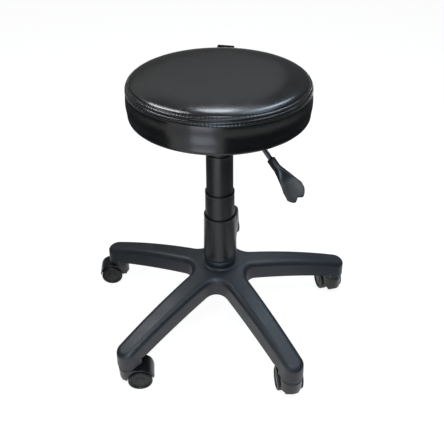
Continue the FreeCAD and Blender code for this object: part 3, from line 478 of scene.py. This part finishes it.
@dataclass(frozen=True)
class Outline:
    """Half outline of the padded seat: over the crown, under the flange and round the board."""

    radius: float = 0.167
    rim_round: float = 0.020
    rim_level: float = 0.560
    crown: float = 0.5842
    underside: float = 0.509
    edge_round: float = 0.008
    bulge: float = 0.0015
    flange_radius: float = 0.138
    board_bottom: float = 0.5102
    board_side: float = 0.1582
    board_top: float = 0.5223
    power: float = 9.0
    samples: int = 800

    def crown_end(self, tilt: float) -> Pair:
        """Radius at which the crown meets the rim's arc at a slope, and its fall up to there."""
        meet = self.radius - self.rim_round * (1.0 - math.sin(tilt))
        return meet, self.crown - self.rim_level - self.rim_round * math.cos(tilt)

    @property
    def tilt(self) -> float:
        """Slope at which the crown runs into the rim's arc.

        Returns:
            The slope in radians, found by repeating the rule four times.
        """
        tilt = 0.0
        for _ in range(4):
            meet, fall = self.crown_end(tilt)
            tilt = math.atan(self.power * fall / meet)
        return tilt

    def trace(self) -> tuple[Array, Array, Array]:
        """Trace nine runs, each in radius and height.

        They are a crown that falls with a power of the radius, the rim's arc, a band that bulges by
        a sine squared, the lower round, the flange, its cut edge, and three runs that close the
        form along the board's underside, side and top.

        Returns:
            Lengths along the outline, its points and its outward normals.
        """
        part = np.linspace(0.0, 1.0, self.samples)
        same = np.ones_like(part)
        low = self.underside + self.edge_round
        edge = self.radius - self.edge_round
        sweep = self.tilt + (math.pi / 2 - self.tilt) * part
        turn = part * math.pi / 2
        meet, fall = self.crown_end(self.tilt)
        runs = [
            (meet * part, self.crown - fall * part ** self.power),
            (self.radius + self.rim_round * (np.sin(sweep) - 1.0),
             self.rim_level + self.rim_round * np.cos(sweep)),
            (self.radius + self.bulge * np.sin(math.pi * part) ** 2,
             self.rim_level + (low - self.rim_level) * part),
            (edge + self.edge_round * np.cos(turn), low - self.edge_round * np.sin(turn)),
            (edge + (self.flange_radius - edge) * part, self.underside * same),
            (self.flange_radius * same, self.underside + (self.board_bottom - self.underside) * part),
            (self.flange_radius + (self.board_side - self.flange_radius) * part, self.board_bottom * same),
            (self.board_side * same, self.board_bottom + (self.board_top - self.board_bottom) * part),
            (self.board_side * (1.0 - part), self.board_top * same),
        ]
        points = np.hstack([np.array(run)[:, 1:] for run in runs]).T
        steps = np.linalg.norm(np.diff(points, axis=0), axis=1)
        lengths = np.concatenate([[0.0], np.cumsum(steps)])
        slope = np.gradient(points, lengths, axis=0)
        slope /= np.linalg.norm(slope, axis=1, keepdims=True)
        return lengths, points, np.stack([-slope[:, 1], slope[:, 0]], axis=1)


@dataclass
class Cushion:
    """The padded round seat: its skin, and the seam with two rows of stitches.

    Each ridge is a distance from the seam and a height, each pucker wave a count and a start, and
    the pleats' drift a size and a count.
    """

    outline: Outline = field(default_factory=Outline)
    columns: int = 704
    crown_rows: int = 40
    crown_start: float = 2.0 * MM
    crown_crowding: float = 0.7
    seam_rows: int = 51
    seam_reach: float = 11.0 * MM
    band_rows: int = 32
    seam_angle: float = 29.0
    seam_depth: float = 1.2 * MM
    seam_half_width: float = 0.95 * MM
    row_offset: float = 5.8 * MM
    row_dent: float = 0.75 * MM
    row_half_width: float = 1.25 * MM
    row_beat: float = 0.4
    ridges: tuple[Pair, ...] = ((2.9 * MM, 0.6 * MM), (8.8 * MM, 0.14 * MM))
    ridge_half_width: float = 1.5 * MM
    ridge_beat: float = 0.25
    pucker: float = 0.12 * MM
    pucker_reach: float = 13.0 * MM
    pucker_waves: tuple[Pair, ...] = ((23.0, 0.0), (37.0, 1.0), (61.0, 2.0))
    pleats: int = 58
    pleat_drift: Pair = (1.7, 3.0)
    pleat_height: float = 0.35 * MM
    pleat_fades: Pair = (6.0 * MM, 4.0 * MM)
    stitches: int = 176
    stitch: Bead = Bead(4.6 * MM, 0.5 * MM, 0.42 * MM, 0.14 * MM)
    sim_rows: int = 64
    sim_columns: int = 128
    sim_frames: int = 20
    sim_quality: int = 6
    pressure: float = 4.0
    held_reach: float = 0.6
    blur_steps: Pair = (1.5, 4.0)
    swell_cap: float = 0.25 * MM

    def __post_init__(self) -> None:
        """Trace the outline once, and find the seam on it."""
        rim = self.outline
        self.lengths, self.points, self.normals = rim.trace()
        level = rim.rim_level + rim.rim_round * math.sin(math.radians(self.seam_angle))
        outer = Run.BAND * (rim.samples - 1)
        self.seam = float(np.interp(-level, -self.points[:outer, 1], self.lengths[:outer]))
        self.flange, self.hem = self.end_of(Run.ROUND), self.end_of(Run.CUT_EDGE)

    def end_of(self, run: Run) -> float:
        """Length along the outline up to the end of a run."""
        return float(self.lengths[run * (self.outline.samples - 1) - 1])

    def at(self, table: Array, rows: Array) -> Array:
        """Read two columns of the traced outline at given lengths."""
        return np.stack([np.interp(rows, self.lengths, table[:, k]) for k in (0, 1)], axis=-1)

    def blow_up(self, rest: Array, held: Array) -> Array:
        """Blow a closed-round grid up as cloth.

        Args:
            rest: its points at rest, by row and column.
            held: whether each row is held in place.

        Returns:
            The points at the last frame.
        """
        scene = bpy.context.scene
        sheet = new_object("swelling", rest, grid_faces(*rest.shape[:2]))
        group = sheet.vertex_groups.new(name="held")
        group.add(np.flatnonzero(np.repeat(held, rest.shape[1])).tolist(), 1.0, "REPLACE")
        cloth = sheet.modifiers.new("cloth", "CLOTH")
        cloth.settings.quality = self.sim_quality
        cloth.settings.vertex_group_mass = group.name
        cloth.settings.use_pressure = True
        cloth.settings.uniform_pressure_force = self.pressure
        cloth.settings.effector_weights.gravity = 0.0
        cloth.point_cache.frame_start, cloth.point_cache.frame_end = 1, self.sim_frames
        for moment in range(1, self.sim_frames + 1):
            scene.frame_set(moment)
        shown = sheet.evaluated_get(bpy.context.evaluated_depsgraph_get())
        moved = np.empty(rest.size, dtype=np.float32)
        shown.data.vertices.foreach_get("co", moved)
        scene.frame_set(1)
        mesh = sheet.data
        bpy.data.objects.remove(sheet)
        bpy.data.meshes.remove(mesh)
        return moved.reshape(rest.shape)

    def swell(self, rows: Array, turn: Array) -> Array:
        """Blow the skin up, held at the seam and the flange, and read how far it grows.

        The growth along the outline's normal is held under the cap by a hyperbolic tangent, and
        read on the fine grid with Gaussian weights of a few coarse steps.

        Args:
            rows: lengths along the outline of the fine grid's rows.
            turn: angles of its columns.

        Returns:
            Growth in metres by row and column.
        """
        coarse = np.linspace(rows[0], self.hem, self.sim_rows)
        around = circle(self.sim_columns)
        place, normal = self.at(self.points, coarse), self.at(self.normals, coarse)
        rest = polar(place[:, :1], around, place[:, 1:])
        step = coarse[1] - coarse[0]
        held = (np.abs(coarse - self.seam) < self.held_reach * step) | (coarse > self.flange)
        out = polar(normal[:, :1], around, normal[:, 1:])
        growth = ((self.blow_up(rest, held) - rest) * out).sum(axis=-1)
        growth = self.swell_cap * np.tanh(growth / self.swell_cap)
        LOG.info("swelling: %.2f to %.2f mm", growth.min() / MM, growth.max() / MM)
        apart = (turn[:, None] - around + math.pi) % math.tau - math.pi
        far_rows = (rows[:, None] - coarse) / step
        far_turns = apart * self.sim_columns / math.tau
        by_row = np.exp(-0.5 * (far_rows / self.blur_steps[0]) ** 2)
        by_turn = np.exp(-0.5 * (far_turns / self.blur_steps[1]) ** 2)
        by_row /= by_row.sum(axis=1, keepdims=True)
        by_turn /= by_turn.sum(axis=1, keepdims=True)
        return by_row @ growth @ by_turn.T

    def relief(self, rows: Array, turn: Array) -> Array:
        """Shape the sewing and the pleats.

        The seam is a Gaussian groove, and each stitch row a shallower one that deepens at the
        needle holes. Gaussian ridges swell beside them and between the holes. Slow sines pucker the
        skin near the seam, and the flange carries sine pleats that fade at both its ends.

        Args:
            rows: lengths along the outline.
            turn: angles of the columns.

        Returns:
            Height over the outline in metres, by row and column.
        """
        across = (rows - self.seam)[:, None]
        beat = np.cos(self.stitches * turn)
        out = -self.seam_depth * bell(across, self.seam_half_width)
        for side in (-1.0, 1.0):
            dent = bell(across - side * self.row_offset, self.row_half_width)
            out = out - self.row_dent * dent * (1.0 - self.row_beat + self.row_beat * beat)
            for place, height in self.ridges:
                ridge = bell(across - side * place, self.ridge_half_width)
                out = out + height * ridge * (1.0 - self.ridge_beat * beat)
        waves = sum(np.sin(count * turn + start) for count, start in self.pucker_waves)
        out = out + self.pucker / len(self.pucker_waves) * waves * bell(across, self.pucker_reach)
        fade = ramp(rows, (self.flange, self.flange + self.pleat_fades[0]))
        fade = fade * ramp(-rows, (-self.hem, self.pleat_fades[1] - self.hem))
        drift, count = self.pleat_drift
        wave = np.sin(self.pleats * turn + drift * np.sin(count * turn)) ** 2
        return out - self.pleat_height * fade[:, None] * wave

    def skin(self) -> tuple[Array, Array]:
        """Lay out the skin's grid, fine across the seam, with its swelling and its relief.

        Returns:
            Points by row and column, and the rows' lengths.
        """
        part = np.linspace(0.0, 1.0, self.crown_rows) ** self.crown_crowding
        crown = self.crown_start + (self.seam - self.seam_reach - self.crown_start) * part
        near = self.seam + np.linspace(-self.seam_reach, self.seam_reach, self.seam_rows)
        band = np.linspace(self.seam + self.seam_reach, self.hem, self.band_rows)
        tuck = [self.end_of(run) for run in (Run.BOARD_BOTTOM, Run.BOARD_SIDE, Run.BOARD_TOP)]
        rows = np.concatenate([crown[:-1], near, band[1:], tuck])
        turn = circle(self.columns)
        out = (self.swell(rows, turn) + self.relief(rows, turn)) * (rows <= self.hem)[:, None]
        place, normal = self.at(self.points, rows), self.at(self.normals, rows)
        flat = place[:, None, :] + normal[:, None, :] * out[..., None]
        return polar(flat[..., 0], turn, flat[..., 1]), rows

    def sew(self, skin: Array, rows: Array) -> Piece:
        """Lay the two rows of stitches on the finished skin.

        Args:
            skin: the skin's points.
            rows: lengths of its rows.

        Returns:
            The stitches as one piece.
        """
        where = (np.arange(self.stitches) + 0.5) * self.columns / self.stitches
        turn = where * math.tau / self.columns
        spots = []
        for side in (-1.0, 1.0):
            near = int(np.argmin(np.abs(rows - self.seam - side * self.row_offset)))
            ring = np.vstack([skin[near], skin[near, :1]])
            far = np.linalg.norm(ring[:, :2], axis=1)
            radius, level = (np.interp(where, np.arange(self.columns + 1), values)
                             for values in (far, ring[:, 2]))
            normal = self.at(self.normals, rows[near:near + 1])[0]
            spots.append((polar(radius, turn, level), polar(1.0, turn + math.pi / 2, 0.0),
                          polar(normal[0], turn, normal[1])))
        places = (np.concatenate(parts) for parts in zip(*spots))
        return mesh_piece("seam_stitches", *self.stitch.lay(*places), THREAD, "seat")

    def build(self) -> None:
        """Build the skin, closed at its pole, and what is sewn to it."""
        points, rows = self.skin()
        pole = np.repeat(points[:1].mean(axis=1, keepdims=True), self.columns, axis=1)
        closed = np.concatenate([pole, points])
        skin = mesh_piece("seat_cushion", closed, grid_faces(len(closed), self.columns), VINYL, "seat")
        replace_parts(skin, "seat_top_panel", "seat_band", "seat_foam")
        self.sew(points, rows)


@dataclass
class Strap:
    """The folded webbing tab that is sewn into the seam at the back."""

    angle: float = 85.3
    roll: float = 3.0
    root: Pair = (0.1645, 0.5730)
    width: float = 34.0 * MM
    reach: float = 19.5 * MM
    layer: float = 1.5 * MM
    gap: float = 0.8 * MM
    tuck: float = 4.0 * MM
    droop: float = 1.5 * MM
    run_rows: int = 24
    fold_rows: int = 15
    sides: int = 48
    squareness: Pair = (0.25, 0.6)

    def line(self) -> Array:
        """Lay out the middle line: out, round a half circle and back, drooping by a square.

        Returns:
            Distance out of the seam and height, one row each.
        """
        bend = (self.layer + self.gap) / 2
        straight = self.reach - bend - self.layer / 2
        run = np.linspace(-self.tuck, straight, self.run_rows)
        fold = np.linspace(math.pi / 2, -math.pi / 2, self.fold_rows)[1:-1]
        same = np.ones_like(run)
        ahead = np.concatenate([run, straight + bend * np.cos(fold), run[::-1]])
        level = np.concatenate([bend * same, bend * np.sin(fold), -bend * same])
        fall = self.droop * (np.clip(ahead, 0.0, None) / self.reach) ** 2
        return np.stack([ahead, level - fall], axis=1)

    def build(self) -> Piece:
        """Sweep a flat section, a superellipse, along the line, and set it at the seat's back.

        Returns:
            The strap as one piece.
        """
        line = self.line()
        slope = np.gradient(line, axis=0)
        slope /= np.linalg.norm(slope, axis=1, keepdims=True)
        up = np.stack([-slope[:, 1], slope[:, 0]], axis=1)
        turn = circle(self.sides)
        wide = squared_off(np.cos(turn), self.squareness[0]) * self.width / 2
        thick = squared_off(np.sin(turn), self.squareness[1]) * self.layer / 2
        plane = line[:, None, :] + up[:, None, :] * thick[None, :, None]
        angle, roll = math.radians(self.angle), math.radians(self.roll)
        away, upward = polar(1.0, angle, 0.0), np.array([0.0, 0.0, 1.0])
        beside = polar(math.cos(roll), angle + math.pi / 2, math.sin(roll))
        points = polar(self.root[0], angle, self.root[1]) + wide[None, :, None] * beside
        points = points + plane[..., :1] * away + plane[..., 1:] * upward
        ends = np.repeat(points.mean(axis=1, keepdims=True), self.sides, axis=1)
        points = np.concatenate([ends[:1], points, ends[-1:]])
        faces = grid_faces(len(points), self.sides)[:, ::-1]
        piece = mesh_piece("rear_strap", points, faces, WEBBING, "seat")
        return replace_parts(piece, "rear_tab")


@dataclass
class Underside:
    """The dust cloth under the seat, and the staples that hold the skin's flange.

    The sag's wave is a share, a count and a start.
    """

    radius: float = 0.1377
    level: float = 0.5099
    sag: float = 1.3 * MM
    sag_start: float = 0.109
    sag_wave: Triple = (0.3, 11.0, 1.0)
    rows: int = 40
    columns: int = 160
    staples: int = 40
    staple_radius: float = 0.146
    staple_level: float = Outline.underside
    stray: float = 0.05
    staple: Bead = Bead(10.0 * MM, 0.6 * MM, 0.3 * MM, 0.1 * MM)

    def cloth(self) -> Piece:
        """Stretch the cloth over the board's underside, sagging a little outside the plate.

        The sag is a sine-squared ring with a slow wave round it.

        Returns:
            The cloth as one sheet.
        """
        radius = np.linspace(0.0, self.radius, self.rows)[:, None]
        turn = circle(self.columns)
        share, count, start = self.sag_wave
        wave = 1.0 - share + share * np.sin(count * turn + start)
        out = ramp(radius, (self.sag_start, self.radius))
        sag = self.sag * np.sin(math.pi * out) ** 2 * wave
        faces = grid_faces(self.rows, self.columns)[:, ::-1]
        points = polar(radius, turn, self.level - sag)
        piece = mesh_piece("dust_cloth", points, faces, DUST_CLOTH, "seat")
        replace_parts(piece, "dust_cover")
        return piece

    def ring(self) -> Piece:
        """Ring the flange with staples that stray a little from even steps.

        Returns:
            The staples as one piece.
        """
        turn = circle(self.staples) + self.stray * np.sin(np.arange(self.staples))
        centre = polar(self.staple_radius, turn, self.staple_level)
        along = polar(1.0, turn + math.pi / 2, 0.0)
        out = np.tile([0.0, 0.0, -1.0], (self.staples, 1))
        beads = self.staple.lay(centre, along, out)
        return mesh_piece("flange_staples", *beads, PLAIN_STEEL, "seat")

    def build(self) -> None:
        """Build the cloth and the staples."""
        self.cloth()
        self.ring()


@dataclass
class SeatFrame:
    """Board, plate, boss and bolts under the cushion."""

    weld_radius: float = 0.0266
    weld_level: float = 0.5068
    weld_round: float = 1.9 * MM
    weld_sides: int = 12
    puddles: int = 72
    puddle_columns: int = 6
    puddle_swell: float = 0.09

    def weld(self) -> Piece:
        """Run a weld bead round the boss: a torus whose section swells by a sine at each puddle.

        Returns:
            The bead as one piece.
        """
        turn = circle(self.puddles * self.puddle_columns)
        around = circle(self.weld_sides)[:, None]
        wave = np.abs(np.sin(self.puddles / 2 * turn))
        size = self.weld_round * (1.0 + self.puddle_swell * wave)
        radius, level = self.weld_radius + size * np.cos(around), self.weld_level + size * np.sin(around)
        points = polar(radius, turn, level)
        points = np.concatenate([points, points[:1]])
        faces = grid_faces(len(points), len(turn))[:, ::-1]
        return mesh_piece("boss_weld", points, faces, BLACK_STEEL, "seat")

    def build(self) -> None:
        """Finish the solids and add the weld."""
        dress(PLYWOOD, "seat_board")
        dress(BLACK_STEEL, "mounting_plate", "taper_boss", "lever_bracket")
        dress(PLAIN_STEEL, "taper_bush", "plate_bolts", "bolt_washers", "tee_nuts")
        self.weld()


@dataclass
class Column:
    """Gas lift and the three sleeves that slide over it."""

    covers: Names = ("cover_lower", "cover_middle", "cover_upper")
    chromed: Names = ("piston_rod", "bearing_balls")
    steel: Names = ("bearing_race_lower", "bearing_race_upper", "retaining_clip", "rod_guide")
    painted: Names = ("stand_tube", "pressure_tube")
    rubber: Names = ("bump_stop", "piston_seal", "rod_seal")
    brass: Names = ("valve_body", "piston", "release_pin")
    bush: str = "guide_bush"

    def build(self) -> None:
        """Finish the solids."""
        dress(COVER_PLASTIC, *self.covers)
        dress(BRIGHT_STEEL, *self.chromed)
        dress(PLAIN_STEEL, *self.steel)
        dress(BLACK_STEEL, *self.painted)
        dress(RUBBER, *self.rubber)
        dress(WHITE_NYLON, self.bush)
        dress(BRASS, *self.brass)


@dataclass
class Lever:
    """Release lever: chromed rod with a moulded paddle."""

    rod: str = "lever_rod"
    pin: str = "lever_pivot_pin"
    root: Triple = (0.08836, -0.10530, 0.47025)
    swing: float = -50.0
    slope: float = 34.5
    twist: float = 24.0
    length: float = 88.0 * MM
    sleeve_radius: float = 7.6 * MM
    bore_radius: float = 4.6 * MM
    bore_depth: float = 26.5 * MM
    chamfer: float = 0.8 * MM
    flare: Pair = (20.0 * MM, 64.0 * MM)
    flare_rate: float = 0.255
    blade_half_height: float = 2.4 * MM
    thinning: Pair = (24.0 * MM, 54.0 * MM)
    squaring: float = 0.45
    edge_run: Pair = (0.95, 1.0)
    dish: float = 1.6 * MM
    hollow: float = 1.6 * MM
    hollow_place: Pair = (45.0 * MM, 16.0 * MM)
    lip: float = 3.0 * MM
    lip_run: Pair = (40.0 * MM, 88.0 * MM)
    sway: float = 3.0 * MM
    sway_run: Pair = (15.0 * MM, 90.0 * MM)
    notch: float = 6.0 * MM
    notch_half_width: float = 5.0 * MM
    corner: float = 12.0 * MM
    skew: float = 1.6 * MM
    drawn_run: Pair = (0.55, 1.0)
    stations: int = 72
    sides: int = 72

    def blade(self) -> Array:
        """Loft sleeve and blade in the paddle's own axes: along it, across it and out of it.

        Each section is a superellipse. The half width grows evenly from the neck to the lobes, and
        the half height falls by a smooth step. The blade is dished by a parabola across it and a
        Gaussian along it, and its end lifts by a square. It sways to one side by a half sine. The
        end is drawn back by a Gaussian notch, by a cube at the corners and evenly to one side, and
        its edge is a quarter ellipse.

        Returns:
            Points by section and by angle round it.
        """
        part = np.linspace(0.0, 1.0, self.stations)[:, None]
        turn = circle(self.sides)
        along = self.chamfer + (self.length - self.chamfer) * part
        step = ramp(along, self.thinning)
        flat = step * step * (3.0 - 2.0 * step)
        wide = self.sleeve_radius + self.flare_rate * (np.clip(along, *self.flare) - self.flare[0])
        tall = self.sleeve_radius + (self.blade_half_height - self.sleeve_radius) * flat
        tall = tall * np.sqrt(1.0 - ramp(part, self.edge_run) ** 2)
        power = 1.0 - self.squaring * flat
        side = squared_off(np.cos(turn), power)
        across = wide * side
        middle, spread = self.hollow_place
        level = tall * squared_off(np.sin(turn), power) + self.dish * flat * side ** 2
        level = level - self.hollow * bell(along - middle, spread)
        level = level + self.lip * ramp(along, self.lip_run) ** 2
        back = self.notch * bell(across, self.notch_half_width)
        back = back + self.corner * np.abs(side) ** 3 + self.skew * side
        across = across + self.sway * np.sin(math.pi * ramp(along, self.sway_run))
        along = along - back * ramp(part, self.drawn_run) ** 2
        return np.stack(np.broadcast_arrays(along, across, level), axis=-1)

    def paddle(self) -> Piece:
        """Close the loft with a bored mouth, and set it on the rod's end.

        Returns:
            The paddle as one piece.
        """
        turn = circle(self.sides)
        mouth_radius = self.sleeve_radius - self.chamfer
        size = np.array([0.0, self.bore_radius, self.bore_radius, mouth_radius])[:, None]
        depth = np.array([self.bore_depth, self.bore_depth, 0.0, 0.0])[:, None]
        mouth = np.roll(polar(size, turn, depth), 1, axis=-1)
        own = np.concatenate([mouth, self.blade()])
        swing, slope, twist = (Matrix.Rotation(math.radians(angle), 3, axis) for angle, axis
                               in zip((self.swing, self.slope, self.twist), "ZYX"))
        points = own @ np.array(swing @ slope @ twist).T + np.array(self.root)
        faces = grid_faces(len(own), self.sides)[:, ::-1]
        piece = mesh_piece("release_paddle", points, faces, PADDLE_PLASTIC, "lever")
        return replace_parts(piece, "lever_paddle")

    def build(self) -> None:
        """Finish the solids and build the paddle."""
        dress(BRIGHT_STEEL, self.rod)
        dress(PLAIN_STEEL, self.pin)
        self.paddle()


@dataclass
class StarBase:
    """Moulded five-legged base with its stem sockets."""

    node: str = "star_base"

    def build(self) -> None:
        """Finish the solid."""
        dress(BASE_NYLON, self.node)


@dataclass
class CasterSet:
    """Five hooded twin-wheel casters."""

    count: int = 5

    def build(self) -> None:
        """Finish the solids."""
        for k in range(1, self.count + 1):
            dress(HOOD_NYLON, f"caster_hood_{k}")
            dress(WHEEL_NYLON, f"caster_wheel_a_{k}", f"caster_wheel_b_{k}")
            dress(PLAIN_STEEL, f"caster_axle_{k}")
        dress(PLAIN_STEEL, "caster_stems", "grip_rings")


@dataclass(frozen=True)
class SoftBox:
    """A soft box that faces a point of the object, and may show as sheen only."""

    name: str
    place: Triple
    aim: Triple
    size: Pair
    radiance: float
    colour: Triple = (1.0, 1.0, 1.0)
    fills: bool = True

    def build(self) -> None:
        """Make the lamp. Its power is pi times its area times the radiance of its face."""
        lamp = bpy.data.lights.new(self.name, "AREA")
        lamp.shape = "RECTANGLE"
        lamp.size, lamp.size_y = self.size
        lamp.energy = math.pi * self.size[0] * self.size[1] * self.radiance
        lamp.color = self.colour
        box = bpy.data.objects.new(self.name, lamp)
        box.location = self.place
        ahead = Vector(self.aim) - Vector(self.place)
        box.rotation_euler = ahead.to_track_quat("-Z", "Y").to_euler()
        box.visible_camera = False
        box.visible_diffuse = self.fills
        bpy.context.scene.collection.objects.link(box)
        LOG.info("%s: %.1f W", self.name, lamp.energy)


@dataclass(frozen=True)
class Curtain:
    """A grey curtain that only reflections see. It keeps the object's edges dark.

    Each hem is an angle, a half spread and a depth by which the foot runs in over the floor. It is
    a bell with a flat top, because its exponent holds a fourth power.
    """

    radius: float = 0.44
    height: float = 0.46
    sweep: Pair = (52.0, 356.0)
    columns: int = 96
    foot: float = 1.0 * MM
    hems: tuple[Triple, ...] = ((82.0, 24.0, 0.22), (284.0, 16.0, 0.17))
    darkening: Pair = (0.20, 0.34)
    pale: float = 0.45
    dark: float = 0.1

    def velvet(self) -> bpy.types.Material:
        """Make its cloth, which darkens upwards.

        Returns:
            The material.
        """
        made = new_material("grey_velvet")
        tree = made.node_tree
        place = add_node(tree, "ShaderNodeTexCoord").outputs["Object"]
        tall = add_node(tree, "ShaderNodeSeparateXYZ", {0: place}).outputs["Z"]
        tone = add_node(tree, "ShaderNodeMapRange",
                        {"Value": tall, "From Min": self.darkening[0], "From Max": self.darkening[1],
                         "To Min": self.pale, "To Max": self.dark})
        cloth = add_node(tree, "ShaderNodeBsdfDiffuse", {"Color": tone.outputs[0]})
        add_node(tree, "ShaderNodeOutputMaterial", {"Surface": cloth.outputs[0]})
        return made

    def build(self) -> None:
        """Stand it up: an arc from the front round by the left, with the hems at its foot."""
        degrees = np.linspace(*self.sweep, self.columns)
        angle, spread, depth = np.array(self.hems).T[..., None]
        hem = (depth * np.exp(-((degrees - angle) / spread) ** 4)).sum(axis=0)
        radius = self.radius - np.array([1.0, 0.0, 0.0])[:, None] * hem
        level = np.array([2.0 * self.foot, self.foot, self.height])[:, None]
        points = polar(radius, -np.radians(degrees) - math.pi / 2, level)
        hung = new_object("curtain", points, grid_faces(len(points), self.columns, wrap=False))
        hung.data.materials.append(self.velvet())
        hung.visible_camera = hung.visible_diffuse = False
        hung.visible_shadow = hung.visible_transmission = False


@dataclass
class Studio:
    """White floor, soft boxes, plain grey surround and the camera."""

    floor_radius: float = 14.0
    floor_sides: int = 128
    floor_pale: float = 0.7
    floor_shadow: float = 0.3
    floor_glow: float = 0.92
    fade: Pair = (4.5, 9.0)
    surround: float = 0.12
    eye: Triple = (0.0, -0.892638, 0.921587)
    pitch: float = 0.6397593
    yaw: float = -0.0047061
    roll: float = 0.0043204
    lens: float = 42.333
    sensor: float = 36.0
    clip: Pair = (0.05, 60.0)

    def floor_paint(self) -> bpy.types.Material:
        """Make the floor's paint: white to the eye and in reflections, pale to other rays.

        It fades into the surround far from the object, and the part that takes light keeps the shadow.

        Returns:
            The material.
        """
        made = new_material("white_floor")
        tree = made.node_tree
        path = add_node(tree, "ShaderNodeLightPath").outputs
        seen = add_node(tree, "ShaderNodeMath",
                        {0: path["Is Camera Ray"], 1: path["Is Glossy Ray"]}, operation="MAXIMUM")
        seen = add_node(tree, "ShaderNodeMath",
                        {0: seen.outputs[0], 1: path["Is Transmission Ray"]}, operation="MAXIMUM")
        place = add_node(tree, "ShaderNodeTexCoord").outputs["Object"]
        far = add_node(tree, "ShaderNodeVectorMath", {0: place}, operation="LENGTH")
        fade = add_node(tree, "ShaderNodeMapRange",
                        {"Value": far.outputs["Value"], "From Min": self.fade[0], "From Max": self.fade[1]},
                        interpolation_type="SMOOTHSTEP")
        pale, part = (add_node(tree, "ShaderNodeBsdfDiffuse", {"Color": (tone, tone, tone, 1.0)})
                      for tone in (self.floor_pale, self.floor_shadow))
        glow, haze = (add_node(tree, "ShaderNodeEmission", {"Color": WHITE, "Strength": level})
                      for level in (self.floor_glow, self.surround))
        white = add_node(tree, "ShaderNodeAddShader", {0: part.outputs[0], 1: glow.outputs[0]})
        shown = add_node(tree, "ShaderNodeMixShader",
                         {0: fade.outputs[0], 1: white.outputs[0], 2: haze.outputs[0]})
        both = add_node(tree, "ShaderNodeMixShader",
                        {0: seen.outputs[0], 1: pale.outputs[0], 2: shown.outputs[0]})
        add_node(tree, "ShaderNodeOutputMaterial", {"Surface": both.outputs[0]})
        return made

    def floor(self) -> None:
        """Lay the floor, a disc."""
        points = polar(self.floor_radius, circle(self.floor_sides), 0.0)
        ground = new_object("floor", points, np.arange(self.floor_sides)[None])
        ground.data.materials.append(self.floor_paint())

    def boxes(self) -> list[SoftBox]:
        """List the soft boxes.

        Returns:
            Three boxes behind for the rim's arcs, one above, one over the camera, two at the
            sides, a dim backdrop for the top's sheen, and cards for the seam, a leg and the band.
        """
        seat, band, leg = (0.0, 0.0, 0.58), (-0.04, -0.167, 0.53), (0.24, 0.05, 0.1)
        return [
            SoftBox("left_box", (-0.85, 0.515, 1.97), seat, (0.28, 0.72), 23.0,
                    (0.96, 0.98, 1.0), fills=False),
            SoftBox("centre_box", (-0.02, 0.92, 1.92), seat, (0.34, 0.26), 21.0,
                    (0.85, 0.92, 1.0), fills=False),
            SoftBox("right_box", (0.65, 0.80, 1.90), seat, (0.20, 0.66), 15.0,
                    (0.68, 0.84, 1.0), fills=False),
            SoftBox("top_box", (0.45, 0.60, 2.10), seat, (1.0, 0.7), 3.5, (0.78, 0.89, 1.0)),
            SoftBox("front_box", (0.0, -0.85, 1.94), seat, (0.5, 0.6), 10.0, (0.93, 0.96, 1.0)),
            SoftBox("right_fill", (0.95, -0.39, 1.81), seat, (0.6, 0.5), 7.0, (0.64, 0.82, 1.0)),
            SoftBox("left_fill", (-1.34, -0.36, 1.38), seat, (0.6, 0.5), 4.0, (0.95, 0.97, 1.0)),
            SoftBox("backdrop", (-0.65, 2.5, 2.0), seat, (2.6, 0.93), 0.31),
            SoftBox("seam_card", (0.06, -1.3, 1.13), seat, (0.6, 0.42), 12.0,
                    (0.58, 0.8, 1.0), fills=False),
            SoftBox("leg_card", (0.33, 0.40, 0.42), leg, (0.3, 0.2), 6.0, (0.8, 0.9, 1.0), fills=False),
            SoftBox("band_card", (-0.205, -0.66, 0.26), band, (0.29, 0.26), 3.4,
                    (0.8, 0.87, 1.0), fills=False),
        ]

    def camera(self) -> None:
        """Set up the camera: looking along +Y, pitched down, then turned about Z and rolled."""
        data = bpy.data.cameras.new("photo_camera")
        data.lens, data.sensor_width = self.lens, self.sensor
        data.clip_start, data.clip_end = self.clip
        eye = bpy.data.objects.new("photo_camera", data)
        turn = Matrix.Rotation(self.yaw, 4, "Z") @ Matrix.Rotation(math.pi / 2 - self.pitch, 4, "X")
        roll = Matrix.Rotation(-self.roll, 4, "Z")
        eye.matrix_world = Matrix.Translation(self.eye) @ turn @ roll
        bpy.context.scene.collection.objects.link(eye)
        bpy.context.scene.camera = eye

    def build(self) -> None:
        """Build floor, light, surround and camera."""
        self.floor()
        Curtain().build()
        for box in self.boxes():
            box.build()
        scene = bpy.context.scene
        scene.world = bpy.data.worlds.new("surround")
        scene.world.use_nodes = True
        tree = scene.world.node_tree
        tree.nodes.clear()
        air = add_node(tree, "ShaderNodeBackground", {"Color": WHITE, "Strength": self.surround})
        add_node(tree, "ShaderNodeOutputWorld", {"Surface": air.outputs[0]})
        scene.view_settings.view_transform = "Standard"
        self.camera()


def main() -> None:
    """Build the stool's looks in order."""
    logging.basicConfig(level=logging.INFO, format="%(message)s")
    for part in (Cushion(), Strap(), Underside(), SeatFrame(), Column(), Lever(), StarBase(),
                 CasterSet(), Studio()):
        part.build()


if __name__ == "__main__":
    main()
